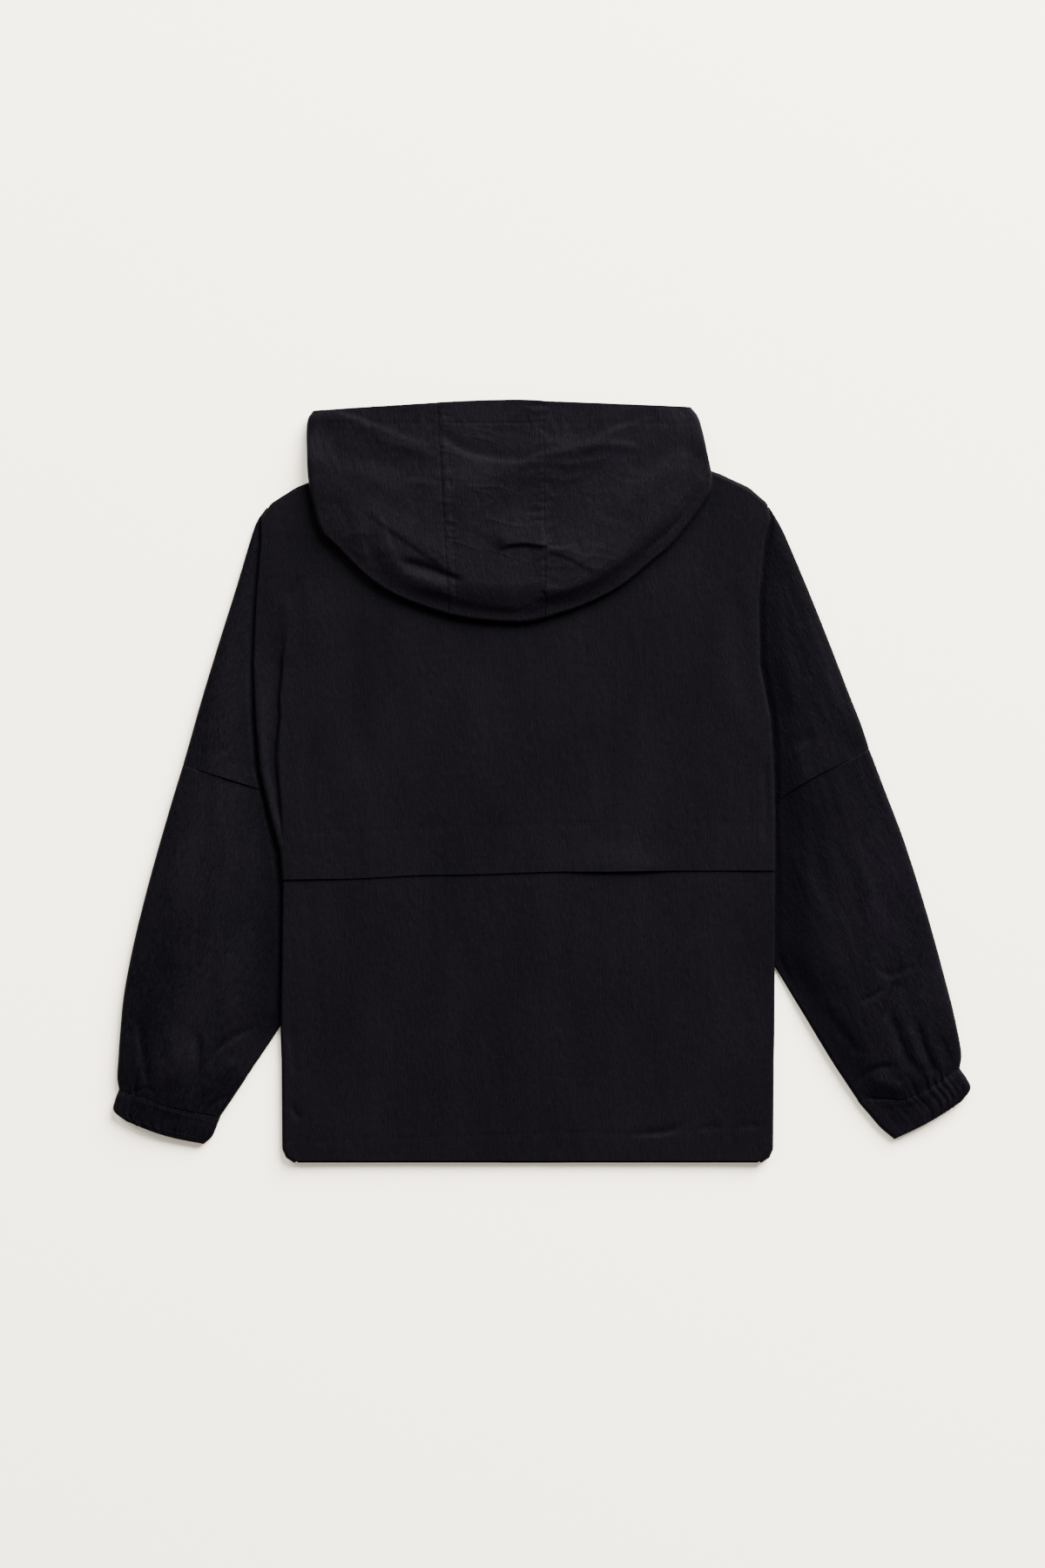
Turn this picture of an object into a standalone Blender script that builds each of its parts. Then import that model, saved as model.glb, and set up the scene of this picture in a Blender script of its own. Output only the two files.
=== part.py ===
"""A hooded crinkle-nylon raincoat lying face down, its hood folded down over its back.

X runs across the coat, Y from the hem to the hood and Z up from the surface it lies on. Tables
and named sizes are in millimetres, and every panel is a cloth wall lofted through its rows.
"""

import math
from collections import namedtuple

import bmesh
import bpy
import numpy as np

MM = 0.001

CLOTH = 1.2  # wall of each panel
SEAM = 0.3  # gap between pieces that meet
LAP_CLEAR = 0.4  # gap between layers that lap
HALF_TURN_STEPS = 4  # flats in each rounded fold

FLOOR_LAYER = CLOTH + SEAM  # underside of a layer that lies on the fronts
TUCK_HIGH = 3.9  # height of a sleeve where it lies under the body's side
SLEEVE_TUCK = 10.3  # how far inside the body's side line the armhole seam lies
TUCK_WIDE = 11.2  # width of sleeve that stays under the body's side
STEP_WIDE = 8.0  # width over which a sleeve swells at first, outside it
NARROW_TUCK, NARROW_STEP = 0.6, 0.3  # most of a narrow sleeve's width that those two take
STEP_SHARE = {"left": 0.4, "right": 0.25}  # how much of its swelling it does there
SLEEVE_RISE = {"left": 60.0, "right": 40.0}  # width over which it does the rest
SLEEVE_LEAST = 8.0  # how high a sleeve's end is at least between its folds
SLEEVE_CROWN = 2.0  # how much higher an upper sleeve is between its two edges

SIDE_RETURN = 10.0  # cloth that the body's side fold turns under
DROP_WIDE = 8.0  # where that cloth steps down on to the front
SIDE_LAP = 8.0  # where it lies on the front

CAPE_HIGH = 11.6  # the cape at its side folds
CAPE_MID = 10.7  # the cape between them
SHOULDER_DROP = {"left": 3.6, "right": 0.6}  # how much lower that fold is towards the shoulder
DROP_FROM_Y, DROP_LONG = 20.0, 130.0  # where it starts to go down, and over how long
LOWER_HIGH = 9.9  # the lower back at its side folds
LOWER_MID = 9.0  # the lower back between them
CAPE_EDGE_Y = -98.5  # the cape's free edge, before it drops a little to the left
CAPE_EDGE_LINE = (
    (-282.0, -106.2),
    (-200.0, -104.8),
    (-125.0, -101.2),
    (-50.0, -99.0),
    (26.0, -96.8),
    (252.0, -96.4),
)
TILT_FROM_Y, TILT_IN = -190.0, 80.0  # where the lower back begins to follow that drop, and how soon
TILT_TO_Y, TILT_OUT = 30.0, 70.0  # and where the cape stops following it
CAPE_LIFT = 3.0  # how far the cape's free edge stands up right of its middle
CAPE_LIFT_X = 82.0
CAPE_LIFT_WIDE = 44.0
CAPE_LIFT_DEEP = 40.0  # how far from the edge it begins
CAPE_YS = (
    *(-98.5, -84.0, -64.0, -32.0, 13.0, 68.0, 126.0, 196.0),
    *(262.0, 284.0, 301.0, 318.5, 334.0, 350.0, 361.0),
)
LOWER_YS = (-412.2, -406.5, -397.0, -300.0, -274.0, -190.0, -106.0)  # the lower back below the cape
UNDERLAP_YS = (-100.0, -84.0, -64.0, -32.0)  # and under it

FLY_LAP = 28.0  # each side of the centre line, where the fronts lap
FLY_TOP_STEP = 5.0  # how much lower the outer front's lap ends
FLY_STEP = 24.0  # width over which the inner front comes down beside the lap
FLY_STEP_DONE = 0.85  # the share of that width after which it lies on the outer front
BODY_CENTER_X = -15.6
NECK_HALF = 92.0
NECK_TOP_Y = 366.0
FRONT_NECK_DEEP = 84.0

HOOD_CLEAR = CAPE_HIGH + LAP_CLEAR  # underside of the hood where it lies on the cape
HOOD_FLOOR = 2.0  # underside of the hood past the shoulders
HOOD_DROOP = 46.0  # length over which it comes down there
NECK_SEAM_Y = 352.0
NECK_SEAM_STEP = 2.0  # how far the hood's sides come down the back at each section
SHOULDER_FROM_Y = 300.0  # the rows above this are the shoulders' slope
HOOD_OVERHANG = 18.0  # how far past the shoulder the hood begins to come down

BodyRow = namedtuple("BodyRow", "y left right lift front_tuck")
BODY_ROWS = (
    BodyRow(-412.2, -268.0, 237.0, 1.5, 4.0),
    BodyRow(-406.5, -277.0, 246.0, 1.5, 4.0),
    BodyRow(-397.0, -281.3, 250.2, 1.5, 4.0),
    BodyRow(-300.0, -282.0, 250.8, 1.5, 4.0),
    BodyRow(-274.0, -283.0, 251.4, 4.2, 12.5),
    BodyRow(-106.0, -281.0, 252.0, 4.2, 12.5),
    BodyRow(-68.0, -284.0, 252.3, 4.2, 12.5),
    BodyRow(-38.0, -292.5, 252.3, 4.2, 12.5),
    BodyRow(13.0, -306.0, 251.0, 4.2, 12.5),
    BodyRow(68.0, -310.5, 247.6, 4.2, 12.5),
    BodyRow(126.0, -312.8, 236.0, 4.2, 12.5),
    BodyRow(196.0, -309.8, 234.6, 4.2, 12.5),
    BodyRow(262.0, -304.2, 241.2, 4.2, 12.5),
    BodyRow(284.0, -304.0, 247.2, 4.2, 13.0),
    BodyRow(301.0, -293.5, 243.5, 4.0, 13.0),
    BodyRow(318.5, -266.0, 223.6, 1.5, 3.0),
    BodyRow(334.0, -226.0, 190.0, 1.5, 3.0),
    BodyRow(350.0, -170.0, 140.0, 1.5, 3.0),
    BodyRow(NECK_TOP_Y, BODY_CENTER_X - NECK_HALF, BODY_CENTER_X + NECK_HALF, 1.5, 3.0),
)

SpokeRow = namedtuple("SpokeRow", "rim_x rim_y seam_x seam_y high")
EdgeRow = namedtuple("EdgeRow", "rim_x rim_y seam_y high")
UPPER_SLEEVE_ROWS = {
    "left": (
        EdgeRow(-298.0, 297.0, 290.0, 2.8),
        EdgeRow(-308.4, 282.0, 272.0, 4.6),
        EdgeRow(-315.6, 261.7, 252.0, 6.0),
        EdgeRow(-332.5, 205.0, 200.0, 9.0),
        EdgeRow(-350.3, 148.5, 140.0, 10.5),
        EdgeRow(-367.5, 92.0, 84.0, 11.5),
        EdgeRow(-380.5, 46.0, 24.0, 12.0),
        EdgeRow(-388.4, 18.6, -13.0, 12.0),
    ),
    "right": (
        EdgeRow(245.6, 297.5, 290.0, 2.8),
        EdgeRow(255.4, 281.5, 273.0, 4.6),
        EdgeRow(265.0, 262.0, 254.0, 6.0),
        EdgeRow(289.0, 205.0, 196.0, 9.0),
        EdgeRow(311.6, 148.5, 140.0, 10.5),
        EdgeRow(333.4, 92.0, 84.0, 11.5),
        EdgeRow(345.2, 62.0, 26.0, 12.0),
        EdgeRow(353.8, 36.0, -28.0, 12.0),
    ),
}

RingRow = namedtuple("RingRow", "outer_x outer_y inner_x inner_y outer_high inner_high swell tuck bow")
LOWER_SLEEVE_ROWS = {
    "left": (
        RingRow(-388.6, 17.6, -291.2, -14.2, 12.2, 3.9, 3.0, 11.0, 0.0),
        RingRow(-400.2, -20.0, -281.8, -58.0, 11.8, 3.9, 3.0, 11.0, 0.0),
        RingRow(-417.0, -78.0, -272.8, -108.0, 11.5, 3.9, 4.0, 11.0, 0.0),
        RingRow(-431.0, -130.0, -271.4, -158.0, 12.0, 3.9, 5.0, 11.0, 0.0),
        RingRow(-443.0, -180.0, -271.4, -207.0, 12.0, 3.9, 6.0, 11.0, 0.0),
        RingRow(-452.2, -229.0, -274.0, -245.0, 12.5, 3.9, 7.0, 11.0, 0.0),
        RingRow(-456.0, -266.0, -288.0, -272.0, 13.0, 3.9, 7.0, 6.0, 0.0),
        RingRow(-458.6, -302.0, -314.0, -311.0, 13.0, 8.5, 7.0, 0.0, 0.0),
        RingRow(-459.6, -320.0, -331.0, -337.0, 12.0, 9.0, 6.0, 0.0, 0.0),
        RingRow(-457.8, -332.0, -348.0, -362.0, 11.0, 8.5, 4.0, 0.0, 3.0),
    ),
    "right": (
        RingRow(354.1, 34.8, 241.4, -29.2, 12.2, 3.9, 3.0, 11.0, 0.0),
        RingRow(372.0, -12.0, 242.6, -75.0, 11.8, 3.9, 3.0, 11.0, 0.0),
        RingRow(390.0, -59.0, 242.6, -112.0, 11.5, 3.9, 4.0, 11.0, 0.0),
        RingRow(406.0, -108.0, 242.6, -150.0, 12.0, 3.9, 5.0, 11.0, 0.0),
        RingRow(420.4, -156.0, 244.0, -184.0, 12.0, 3.9, 6.0, 10.0, 0.0),
        RingRow(433.0, -202.0, 259.0, -212.0, 12.5, 3.9, 7.0, 6.0, 0.0),
        RingRow(443.4, -242.0, 283.0, -252.0, 13.0, 8.0, 7.0, 0.0, 4.0),
        RingRow(450.6, -275.0, 312.0, -300.0, 13.0, 9.0, 7.0, 0.0, 10.0),
        RingRow(453.6, -295.0, 329.0, -326.0, 12.0, 9.0, 6.0, 0.0, 12.0),
        RingRow(452.0, -309.0, 341.0, -344.0, 11.0, 8.5, 4.0, 0.0, 13.0),
    ),
}
CUFF_ROWS = {
    "left": (
        RingRow(-458.0, -332.4, -348.3, -362.4, 10.5, 8.0, 4.0, 0.0, 3.0),
        RingRow(-462.0, -344.0, -352.0, -373.0, 11.0, 8.5, 2.0, 0.0, 3.0),
        RingRow(-463.4, -356.0, -357.0, -384.0, 10.5, 8.0, 1.5, 0.0, 3.0),
        RingRow(-450.0, -367.0, -366.0, -391.8, 9.5, 7.5, 1.0, 0.0, 3.0),
    ),
    "right": (
        RingRow(452.6, -310.2, 341.6, -345.2, 10.5, 8.0, 4.0, 0.0, 13.0),
        RingRow(459.6, -321.0, 353.0, -359.0, 11.0, 8.5, 2.0, 0.0, 9.0),
        RingRow(463.4, -332.4, 366.0, -374.0, 10.5, 8.0, 1.5, 0.0, 5.0),
        RingRow(454.0, -345.5, 381.0, -386.5, 9.5, 7.5, 1.0, 0.0, 2.0),
    ),
}
CUFF_GATHERS = 8
CUFF_GATHER_HIGH = 0.5

# The right forearm seam bows up a little past its middle, and drops at its inner end
ELBOW_OUTER, ELBOW_INNER = (354.0, 35.0), (241.0, -29.0)
ELBOW_BOW, ELBOW_DROP, ELBOW_REACH, ELBOW_SKEW = 3.6, 3.0, 36.0, 1.6

HoodSeam = namedtuple("HoodSeam", "mouth_x rim_x")
HOOD_SEAMS = {"left": HoodSeam(-113.2, -100.2), "right": HoodSeam(0.8, 3.2)}
HOOD_SEAM_HALF = 0.3  # each panel stays this far from the seam's line
HOOD_SIDE_ROWS = {
    "left": (
        EdgeRow(-248.0, 400.5, 409.0, 14.0),
        EdgeRow(-254.1, 388.0, 392.0, 15.0),
        EdgeRow(-254.1, 356.0, 360.0, 11.0),
        EdgeRow(-251.6, 321.0, 326.0, 9.5),
        EdgeRow(-240.5, 274.0, 293.0, 8.8),
        EdgeRow(-223.0, 254.0, 270.0, 8.5),
        EdgeRow(-189.0, 220.5, 248.0, 8.2),
        EdgeRow(-160.0, 201.6, 227.0, 7.8),
        EdgeRow(-128.0, 188.6, 208.0, 7.6),
        EdgeRow(-101.2, 179.6, 198.0, 7.4),
    ),
    "right": (
        EdgeRow(161.0, 404.5, 410.8, 14.0),
        EdgeRow(170.0, 391.0, 393.0, 13.0),
        EdgeRow(178.2, 356.0, 360.0, 8.0),
        EdgeRow(184.0, 320.0, 328.0, 9.5),
        EdgeRow(174.9, 300.0, 296.0, 9.5),
        EdgeRow(142.0, 258.0, 266.0, 8.5),
        EdgeRow(115.5, 235.0, 246.0, 8.2),
        EdgeRow(85.0, 210.4, 228.0, 7.8),
        EdgeRow(46.0, 190.6, 208.0, 7.6),
        EdgeRow(4.2, 176.2, 196.0, 7.4),
    ),
}
HOOD_CENTER_ROWS = (
    EdgeRow(-100.2, 179.4, 409.2, 7.4),
    EdgeRow(-79.0, 175.4, 410.4, 7.4),
    EdgeRow(-58.0, 173.0, 411.4, 7.4),
    EdgeRow(-38.0, 171.9, 412.0, 7.4),
    EdgeRow(-17.5, 172.0, 412.2, 7.4),
    EdgeRow(3.2, 175.9, 411.2, 7.4),
)
HOOD_TOP_HIGH = 19.0  # the hood's outer wall at its mouth
HOOD_RIM_HIGH = 27.0  # and over the rim at the bottom
HOOD_RISE = 38.0  # width over which it comes up from its rounded rim
FOLD_FADE = 24.0  # width beside the rim over which its folds fade in
HOOD_MOUTH_Y = 410.0
HOOD_RIM_Y = 190.0  # where its rim is highest
HOOD_FOOT_Y = 178.0  # where its seams meet the rim

# Large folds: soft ridges (high > 0) and troughs (high < 0) along a bent line, with their half width
Fold = namedtuple("Fold", "start bend end half_wide high")
HOOD_FOLDS = (
    Fold((186.0, 322.0), (118.0, 250.0), (10.0, 182.0), 18.0, -2.4),
    Fold((-170.0, 226.0), (-100.0, 204.0), (0.0, 184.0), 12.0, -2.4),
    Fold((-112.0, 301.0), (0.0, 350.0), (118.0, 391.0), 20.0, 2.4),
    Fold((-232.0, 400.0), (-160.0, 374.0), (-110.0, 357.0), 12.0, 1.2),
)
SLEEVE_FOLDS = (
    Fold((-372.0, -278.0), (-373.0, -320.0), (-384.0, -350.0), 13.0, 1.7),
    Fold((-310.0, -262.0), (-346.0, -290.0), (-366.0, -340.0), 14.0, -1.9),
    Fold((-433.0, -254.0), (-430.0, -290.0), (-428.0, -322.0), 12.0, 1.4),
    Fold((362.0, -205.0), (384.0, -226.0), (368.0, -268.0), 15.0, 1.9),
    Fold((378.0, -252.0), (392.0, -290.0), (408.0, -316.0), 14.0, -1.9),
    Fold((344.0, -334.0), (370.0, -344.0), (398.0, -346.0), 12.0, -1.7),
)

CLOTH_COLOR = (0.0092, 0.0080, 0.0105, 1.0)
HOOD_COLOR = (0.0130, 0.0112, 0.0150, 1.0)
CLOTH_ROUGH = 0.55
SHARP_FROM = math.radians(50.0)


def clear_scene():
    for old in list(bpy.data.objects):
        bpy.data.objects.remove(old)


def cloth_material(name, color):
    material = bpy.data.materials.new(name)
    material.use_nodes = True
    shader = material.node_tree.nodes["Principled BSDF"]
    shader.inputs["Base Color"].default_value = color
    shader.inputs["Roughness"].default_value = CLOTH_ROUGH
    shader.inputs["Metallic"].default_value = 0.0
    return material


def smoothstep(value):
    held = min(1.0, max(0.0, value))
    return held * held * (3.0 - 2.0 * held)


def between(rows, key, at):
    """A row read at one value of its key column, straight between the two rows beside it."""
    keys = [getattr(row, key) for row in rows]
    columns = zip(*rows)
    return type(rows[0])(*(float(np.interp(at, keys, column)) for column in columns))


def rows_at(rows, count):
    """Rows at even steps along a table, on a smooth curve through it."""
    values = np.array(rows, dtype=float)
    places = np.arange(len(values), dtype=float)
    slopes = np.gradient(values, places, axis=0)
    smooth = []
    for place in np.linspace(0.0, len(values) - 1.0, count):
        first = min(int(place), len(values) - 2)
        t = place - first
        a, b = values[first], values[first + 1]
        ta, tb = slopes[first], slopes[first + 1]
        h = (2 * t**3 - 3 * t**2 + 1, t**3 - 2 * t**2 + t, 3 * t**2 - 2 * t**3, t**3 - t**2)
        smooth.append(type(rows[0])(*(h[0] * a + h[1] * ta + h[2] * b + h[3] * tb)))
    return smooth


def folds_height(x, y, folds):
    """Height that the large folds add at a place."""
    height = 0.0
    for fold in folds:
        points = np.array((fold.start, fold.bend, fold.end))
        nearest = math.inf
        for a, b in zip(points[:-1], points[1:]):
            along = np.dot((x, y) - a, b - a) / np.dot(b - a, b - a)
            foot = a + (b - a) * min(1.0, max(0.0, along))
            nearest = min(nearest, math.dist(foot, (x, y)))
        height += fold.high * math.exp(-((nearest / fold.half_wide) ** 2))
    return height


def half_turn(edge, inward, top, bottom):
    """A rounded fold from the upper wall to the under one, as points from top to bottom."""
    radius = (top - bottom) / 2.0
    middle = (top + bottom) / 2.0
    points = []
    for step in range(HALF_TURN_STEPS + 1):
        angle = math.pi / 2.0 - math.pi * step / HALF_TURN_STEPS
        place = edge + inward * radius * (1.0 - math.cos(angle))
        points.append((place[0], place[1], middle + radius * math.sin(angle)))
    return points


def wall(name, sections, material, round_ring=False, thickness=CLOTH):
    """One cloth panel: a skin through its sections, given its thickness inwards."""
    mesh = bpy.data.meshes.new(name)
    skin = bmesh.new()
    rows = [[skin.verts.new([value * MM for value in point]) for point in row] for row in sections]
    wide = len(rows[0])
    for near, far in zip(rows[:-1], rows[1:]):
        for a in range(wide if round_ring else wide - 1):
            b = (a + 1) % wide
            skin.faces.new((near[a], near[b], far[b], far[a]))
    skin.to_mesh(mesh)
    skin.free()
    mesh.shade_smooth()
    mesh.set_sharp_from_angle(angle=SHARP_FROM)
    mesh.materials.append(material)
    panel = bpy.data.objects.new(name, mesh)
    bpy.context.scene.collection.objects.link(panel)
    solidify = panel.modifiers.new("Cloth", "SOLIDIFY")
    solidify.thickness = thickness * MM
    solidify.offset = -1.0
    solidify.use_even_offset = True
    return panel


def spaced(a, b, count):
    """Points strictly between two places."""
    return [a + (b - a) * step / (count + 1) for step in range(1, count + 1)]


def body_inward(y, side):
    """The outline point of the body's side at y, and the direction square to it, inwards."""
    step = 4.0
    sign = {"left": 1.0, "right": -1.0}[side]
    x_low = getattr(between(BODY_ROWS, "y", y - step), side)
    x_high = getattr(between(BODY_ROWS, "y", y + step), side)
    x_here = getattr(between(BODY_ROWS, "y", y), side)
    inward = np.array((2.0 * step, x_low - x_high)) * sign
    return np.array((x_here, y)), inward / np.linalg.norm(inward)


def body_section(y, side_high, mid_high, inset=0.0, lift=None, drops=False, top_points=11):
    """A cross-section of the back: its upper wall, its two side folds and the cloth turned under."""
    row = between(BODY_ROWS, "y", y)
    low = row.lift if lift is None else lift
    falls = smoothstep((y - DROP_FROM_Y) / DROP_LONG)
    side_highs = {side: side_high - SHOULDER_DROP[side] * falls for side in SHOULDER_DROP}
    half = {}
    for side in ("left", "right"):
        edge, inward = body_inward(y, side)
        edge = edge + inward * inset
        fold = half_turn(edge, inward, side_highs[side], low)
        turned = edge + inward * (SIDE_RETURN + inset)
        under = [(*turned, low)]
        if drops:
            turned = turned + inward * DROP_WIDE
            under.append((*turned, FLOOR_LAYER))
            under.append((*(turned + inward * SIDE_LAP), FLOOR_LAYER))
        half[side] = fold + under
    left, right = np.array(half["left"][0][:2]), np.array(half["right"][0][:2])
    top = []
    for place in spaced(left, right, top_points):
        across = 2.0 * math.dist(place, left) / math.dist(right, left) - 1.0
        side_at = side_highs["left" if across < 0.0 else "right"]
        high = mid_high + (side_at - mid_high) * across**4
        high += cape_lift(*place) if not drops else 0.0
        top.append((*place, high))
    return half["left"][::-1] + top + half["right"]


def cape_lift(x, y):
    """The free edge of the cape stands up a little right of its middle."""
    along = smoothstep(1.0 - (y - CAPE_EDGE_Y) / CAPE_LIFT_DEEP)
    return CAPE_LIFT * along * math.exp(-(((x - CAPE_LIFT_X) / CAPE_LIFT_WIDE) ** 2))


def cape_drop(x, y):
    """The cape's free edge drops a little to the left, and both panels of the back follow it there."""
    near = smoothstep((y - TILT_FROM_Y) / TILT_IN) * smoothstep((TILT_TO_Y - y) / TILT_OUT)
    return 0.0, (np.interp(x, *zip(*CAPE_EDGE_LINE)) - CAPE_EDGE_Y) * near


def elbow_bow(x, y):
    """The right forearm seam's bow, which both panels that meet there follow."""
    outer, inner = np.array(ELBOW_OUTER), np.array(ELBOW_INNER)
    way = (inner - outer) / np.linalg.norm(inner - outer)
    up = np.array((way[1], -way[0]))
    away = np.dot((x, y) - outer, up) / ELBOW_REACH
    share = min(1.0, max(0.0, (outer[0] - x) / (outer[0] - inner[0])))
    bow = ELBOW_BOW * math.sin(math.pi * share**ELBOW_SKEW) - ELBOW_DROP * share**3
    return up * bow * math.exp(-(away**2))


def moved(sections, shift):
    """Sections with each point moved along the surface as one of the two above says."""
    return [[(x + shift(x, y)[0], y + shift(x, y)[1], z) for x, y, z in section] for section in sections]


def make_back(material):
    cape = [body_section(y, CAPE_HIGH, CAPE_MID) for y in CAPE_YS]
    wall("back_cape", moved(cape, cape_drop), material)
    lower = []
    for y in LOWER_YS:
        lower.append(body_section(y, LOWER_HIGH, LOWER_MID, drops=True))
    nest = CLOTH + LAP_CLEAR
    for y in UNDERLAP_YS:
        low = between(BODY_ROWS, "y", y).lift + nest
        lower.append(body_section(y, LOWER_HIGH, LOWER_MID, inset=nest, lift=low, drops=True))
    wall("back_lower", moved(lower, cape_drop), material)


def front_neck_y(side):
    return NECK_TOP_Y - FRONT_NECK_DEEP - (FLY_TOP_STEP if side == "left" else 0.0)


def front_section(y, side, lapped_high):
    """A row of one front from its side edge to past the centre line, lying on the surface."""
    row = between(BODY_ROWS, "y", y)
    sign = {"left": 1.0, "right": -1.0}[side]
    outer = getattr(row, side) + sign * row.front_tuck
    neck_y = front_neck_y(side)
    lap_edge = BODY_CENTER_X + sign * FLY_LAP
    if y > neck_y:
        hollow = NECK_HALF * math.sqrt(max(0.0, 1.0 - ((NECK_TOP_Y - y) / FRONT_NECK_DEEP) ** 2))
        lap_edge = BODY_CENTER_X - sign * hollow
    step_x = BODY_CENTER_X - sign * (FLY_LAP + FLY_STEP)
    xs = [outer] + spaced(outer, step_x, 2) + [step_x, step_x + sign * FLY_STEP * FLY_STEP_DONE]
    if y > neck_y:
        xs = [outer] + spaced(outer, lap_edge, 4)
    xs.append(lap_edge)
    points = []
    for x in xs:
        inner = smoothstep((x - step_x) * sign / (FLY_STEP * FLY_STEP_DONE))
        points.append((x, y, CLOTH + inner * lapped_high))
    return points


def make_fronts(material):
    for side, lapped_high in (("left", 0.0), ("right", FLOOR_LAYER)):
        ys = sorted([row.y for row in BODY_ROWS[:-1]] + [front_neck_y(side)])
        rows = [front_section(y, side, lapped_high) for y in ys]
        if side == "right":
            rows = [row[::-1] for row in rows]
        wall(f"front_{side}", rows, material)


def spoke_section(row, top_of, under_of, top_points, under_points, under_seam=None, tuck=0.0):
    """A cross-section of a panel folded at its rim: upper wall, half turn and under wall."""
    rim = np.array((row.rim_x, row.rim_y))
    seam = np.array((row.seam_x, row.seam_y))
    low_seam = seam if under_seam is None else np.array(under_seam)
    inward = (seam - rim) / np.linalg.norm(seam - rim)
    bottom = under_of(*rim)
    fold = half_turn(rim, inward, bottom + row.high, bottom)
    start = np.array(fold[0][:2])
    upper = []
    shares = np.linspace(0.0, 1.0, top_points + 1)[1:]
    wide = math.dist(start, seam)
    if tuck:
        tucked = min(tuck, NARROW_TUCK * wide)
        step = min(STEP_WIDE, NARROW_STEP * (wide - tucked))
        shares[:-2] = np.linspace(0.0, 1.0 - (tucked + step) / wide, top_points - 1)[1:]
        shares[-2] = 1.0 - tucked / wide
    for share in shares:
        place = start + (seam - start) * share
        high = top_of(place, math.dist(place, start), fold[0][2], math.dist(place, seam))
        upper.append((place[0], place[1], high))
    finish = np.array(fold[-1][:2])
    under = []
    for share in np.linspace(0.0, 1.0, under_points + 1)[1:]:
        place = finish + (low_seam - finish) * share
        under.append((place[0], place[1], under_of(*place)))
    return upper[::-1] + fold + under


def spoke_sections(rows, **shape):
    seams = shape.pop("under_seams", [None] * len(rows))
    return [spoke_section(row, under_seam=seam, **shape) for row, seam in zip(rows, seams)]


def sleeve_free(side, out, room):
    """How far a sleeve has swelled at a distance out from the body: quickly at first, then slowly."""
    step = STEP_SHARE[side] * smoothstep(room / SLEEVE_RISE[side])
    slowly = smoothstep(out / min(SLEEVE_RISE[side], room))
    return step * smoothstep(out / STEP_WIDE) + (1.0 - step) * slowly


def make_upper_sleeve(side, material):
    sections = []
    for row in rows_at(UPPER_SLEEVE_ROWS[side], 9):
        edge, inward = body_inward(row.seam_y, side)
        seam_x = edge[0] + math.copysign(SLEEVE_TUCK, inward[0])
        across = np.array((seam_x - row.rim_x, row.seam_y - row.rim_y))
        tuck = TUCK_WIDE * np.linalg.norm(across) / abs(np.dot(across, inward))

        def top_of(place, from_rim, rim_top, from_seam, tuck=tuck):
            free = sleeve_free(side, from_seam - tuck, max(from_rim + from_seam - tuck, 1.0))
            crown = SLEEVE_CROWN * math.sin(math.pi * from_rim / (from_rim + from_seam))
            return TUCK_HIGH + (rim_top + crown - TUCK_HIGH) * free

        spoke = SpokeRow(row.rim_x, row.rim_y, seam_x, row.seam_y, row.high)
        shape = {"top_of": top_of, "under_of": lambda x, y: 0.0, "top_points": 8, "under_points": 3}
        sections.append(spoke_section(spoke, tuck=tuck, **shape))
    if side == "right":
        sections = moved([row[::-1] for row in sections], elbow_bow)
    wall(f"sleeve_upper_{side}", sections, material)


def ring_section(side, row, before, after, top_points, under_points, folds=(), gathers=0):
    """A flattened tube's cross-section, from its outer fold over the top to its inner fold."""
    outer = np.array((row.outer_x, row.outer_y))
    inner = np.array((row.inner_x, row.inner_y))
    across = (inner - outer) / np.linalg.norm(inner - outer)
    down = np.array((after.outer_x + after.inner_x, after.outer_y + after.inner_y))
    down -= np.array((before.outer_x + before.inner_x, before.outer_y + before.inner_y))
    down = down - across * np.dot(down, across)
    down /= np.linalg.norm(down)
    outer_fold = half_turn(outer, across, row.outer_high, 0.0)
    inner_fold = half_turn(inner, -across, row.inner_high, 0.0)
    start, finish = np.array(outer_fold[0][:2]), np.array(inner_fold[0][:2])
    top = []
    shares = np.linspace(0.0, 1.0, top_points + 2)[1:-1]
    wide = math.dist(start, finish)
    room = wide - row.tuck
    if row.tuck > row.inner_high:
        step = wide - row.tuck + row.inner_high / 2.0
        shares[:-1] = np.linspace(0.0, (step - STEP_WIDE) / wide, top_points)[1:]
        shares[-1] = step / wide
    for share in shares:
        place = start + (finish - start) * share
        from_inner = math.dist(place, inner)
        full = row.outer_high + (row.inner_high - row.outer_high) * share
        full = max(full, SLEEVE_LEAST) + row.swell * math.sin(math.pi * share)
        free = sleeve_free(side, from_inner - row.tuck, room)
        high = row.inner_high + (full - row.inner_high) * free
        place = place + down * row.bow * math.sin(math.pi * share)
        high += folds_height(place[0], place[1], folds) * free * math.sin(math.pi * share)
        high += CUFF_GATHER_HIGH * math.cos(2.0 * math.pi * gathers * share) if gathers else 0.0
        top.append((place[0], place[1], high))
    under = []
    for share in np.linspace(0.0, 1.0, under_points + 2)[1:-1]:
        place = start + (finish - start) * share + down * row.bow * math.sin(math.pi * share)
        under.append((place[0], place[1], 0.0))
    return outer_fold[::-1] + top + inner_fold + under[::-1]


def ring_sections(side, rows, **shape):
    sections = []
    for number, row in enumerate(rows):
        before = rows[max(0, number - 1)]
        after = rows[min(len(rows) - 1, number + 1)]
        sections.append(ring_section(side, row, before, after, **shape))
    return sections


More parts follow.
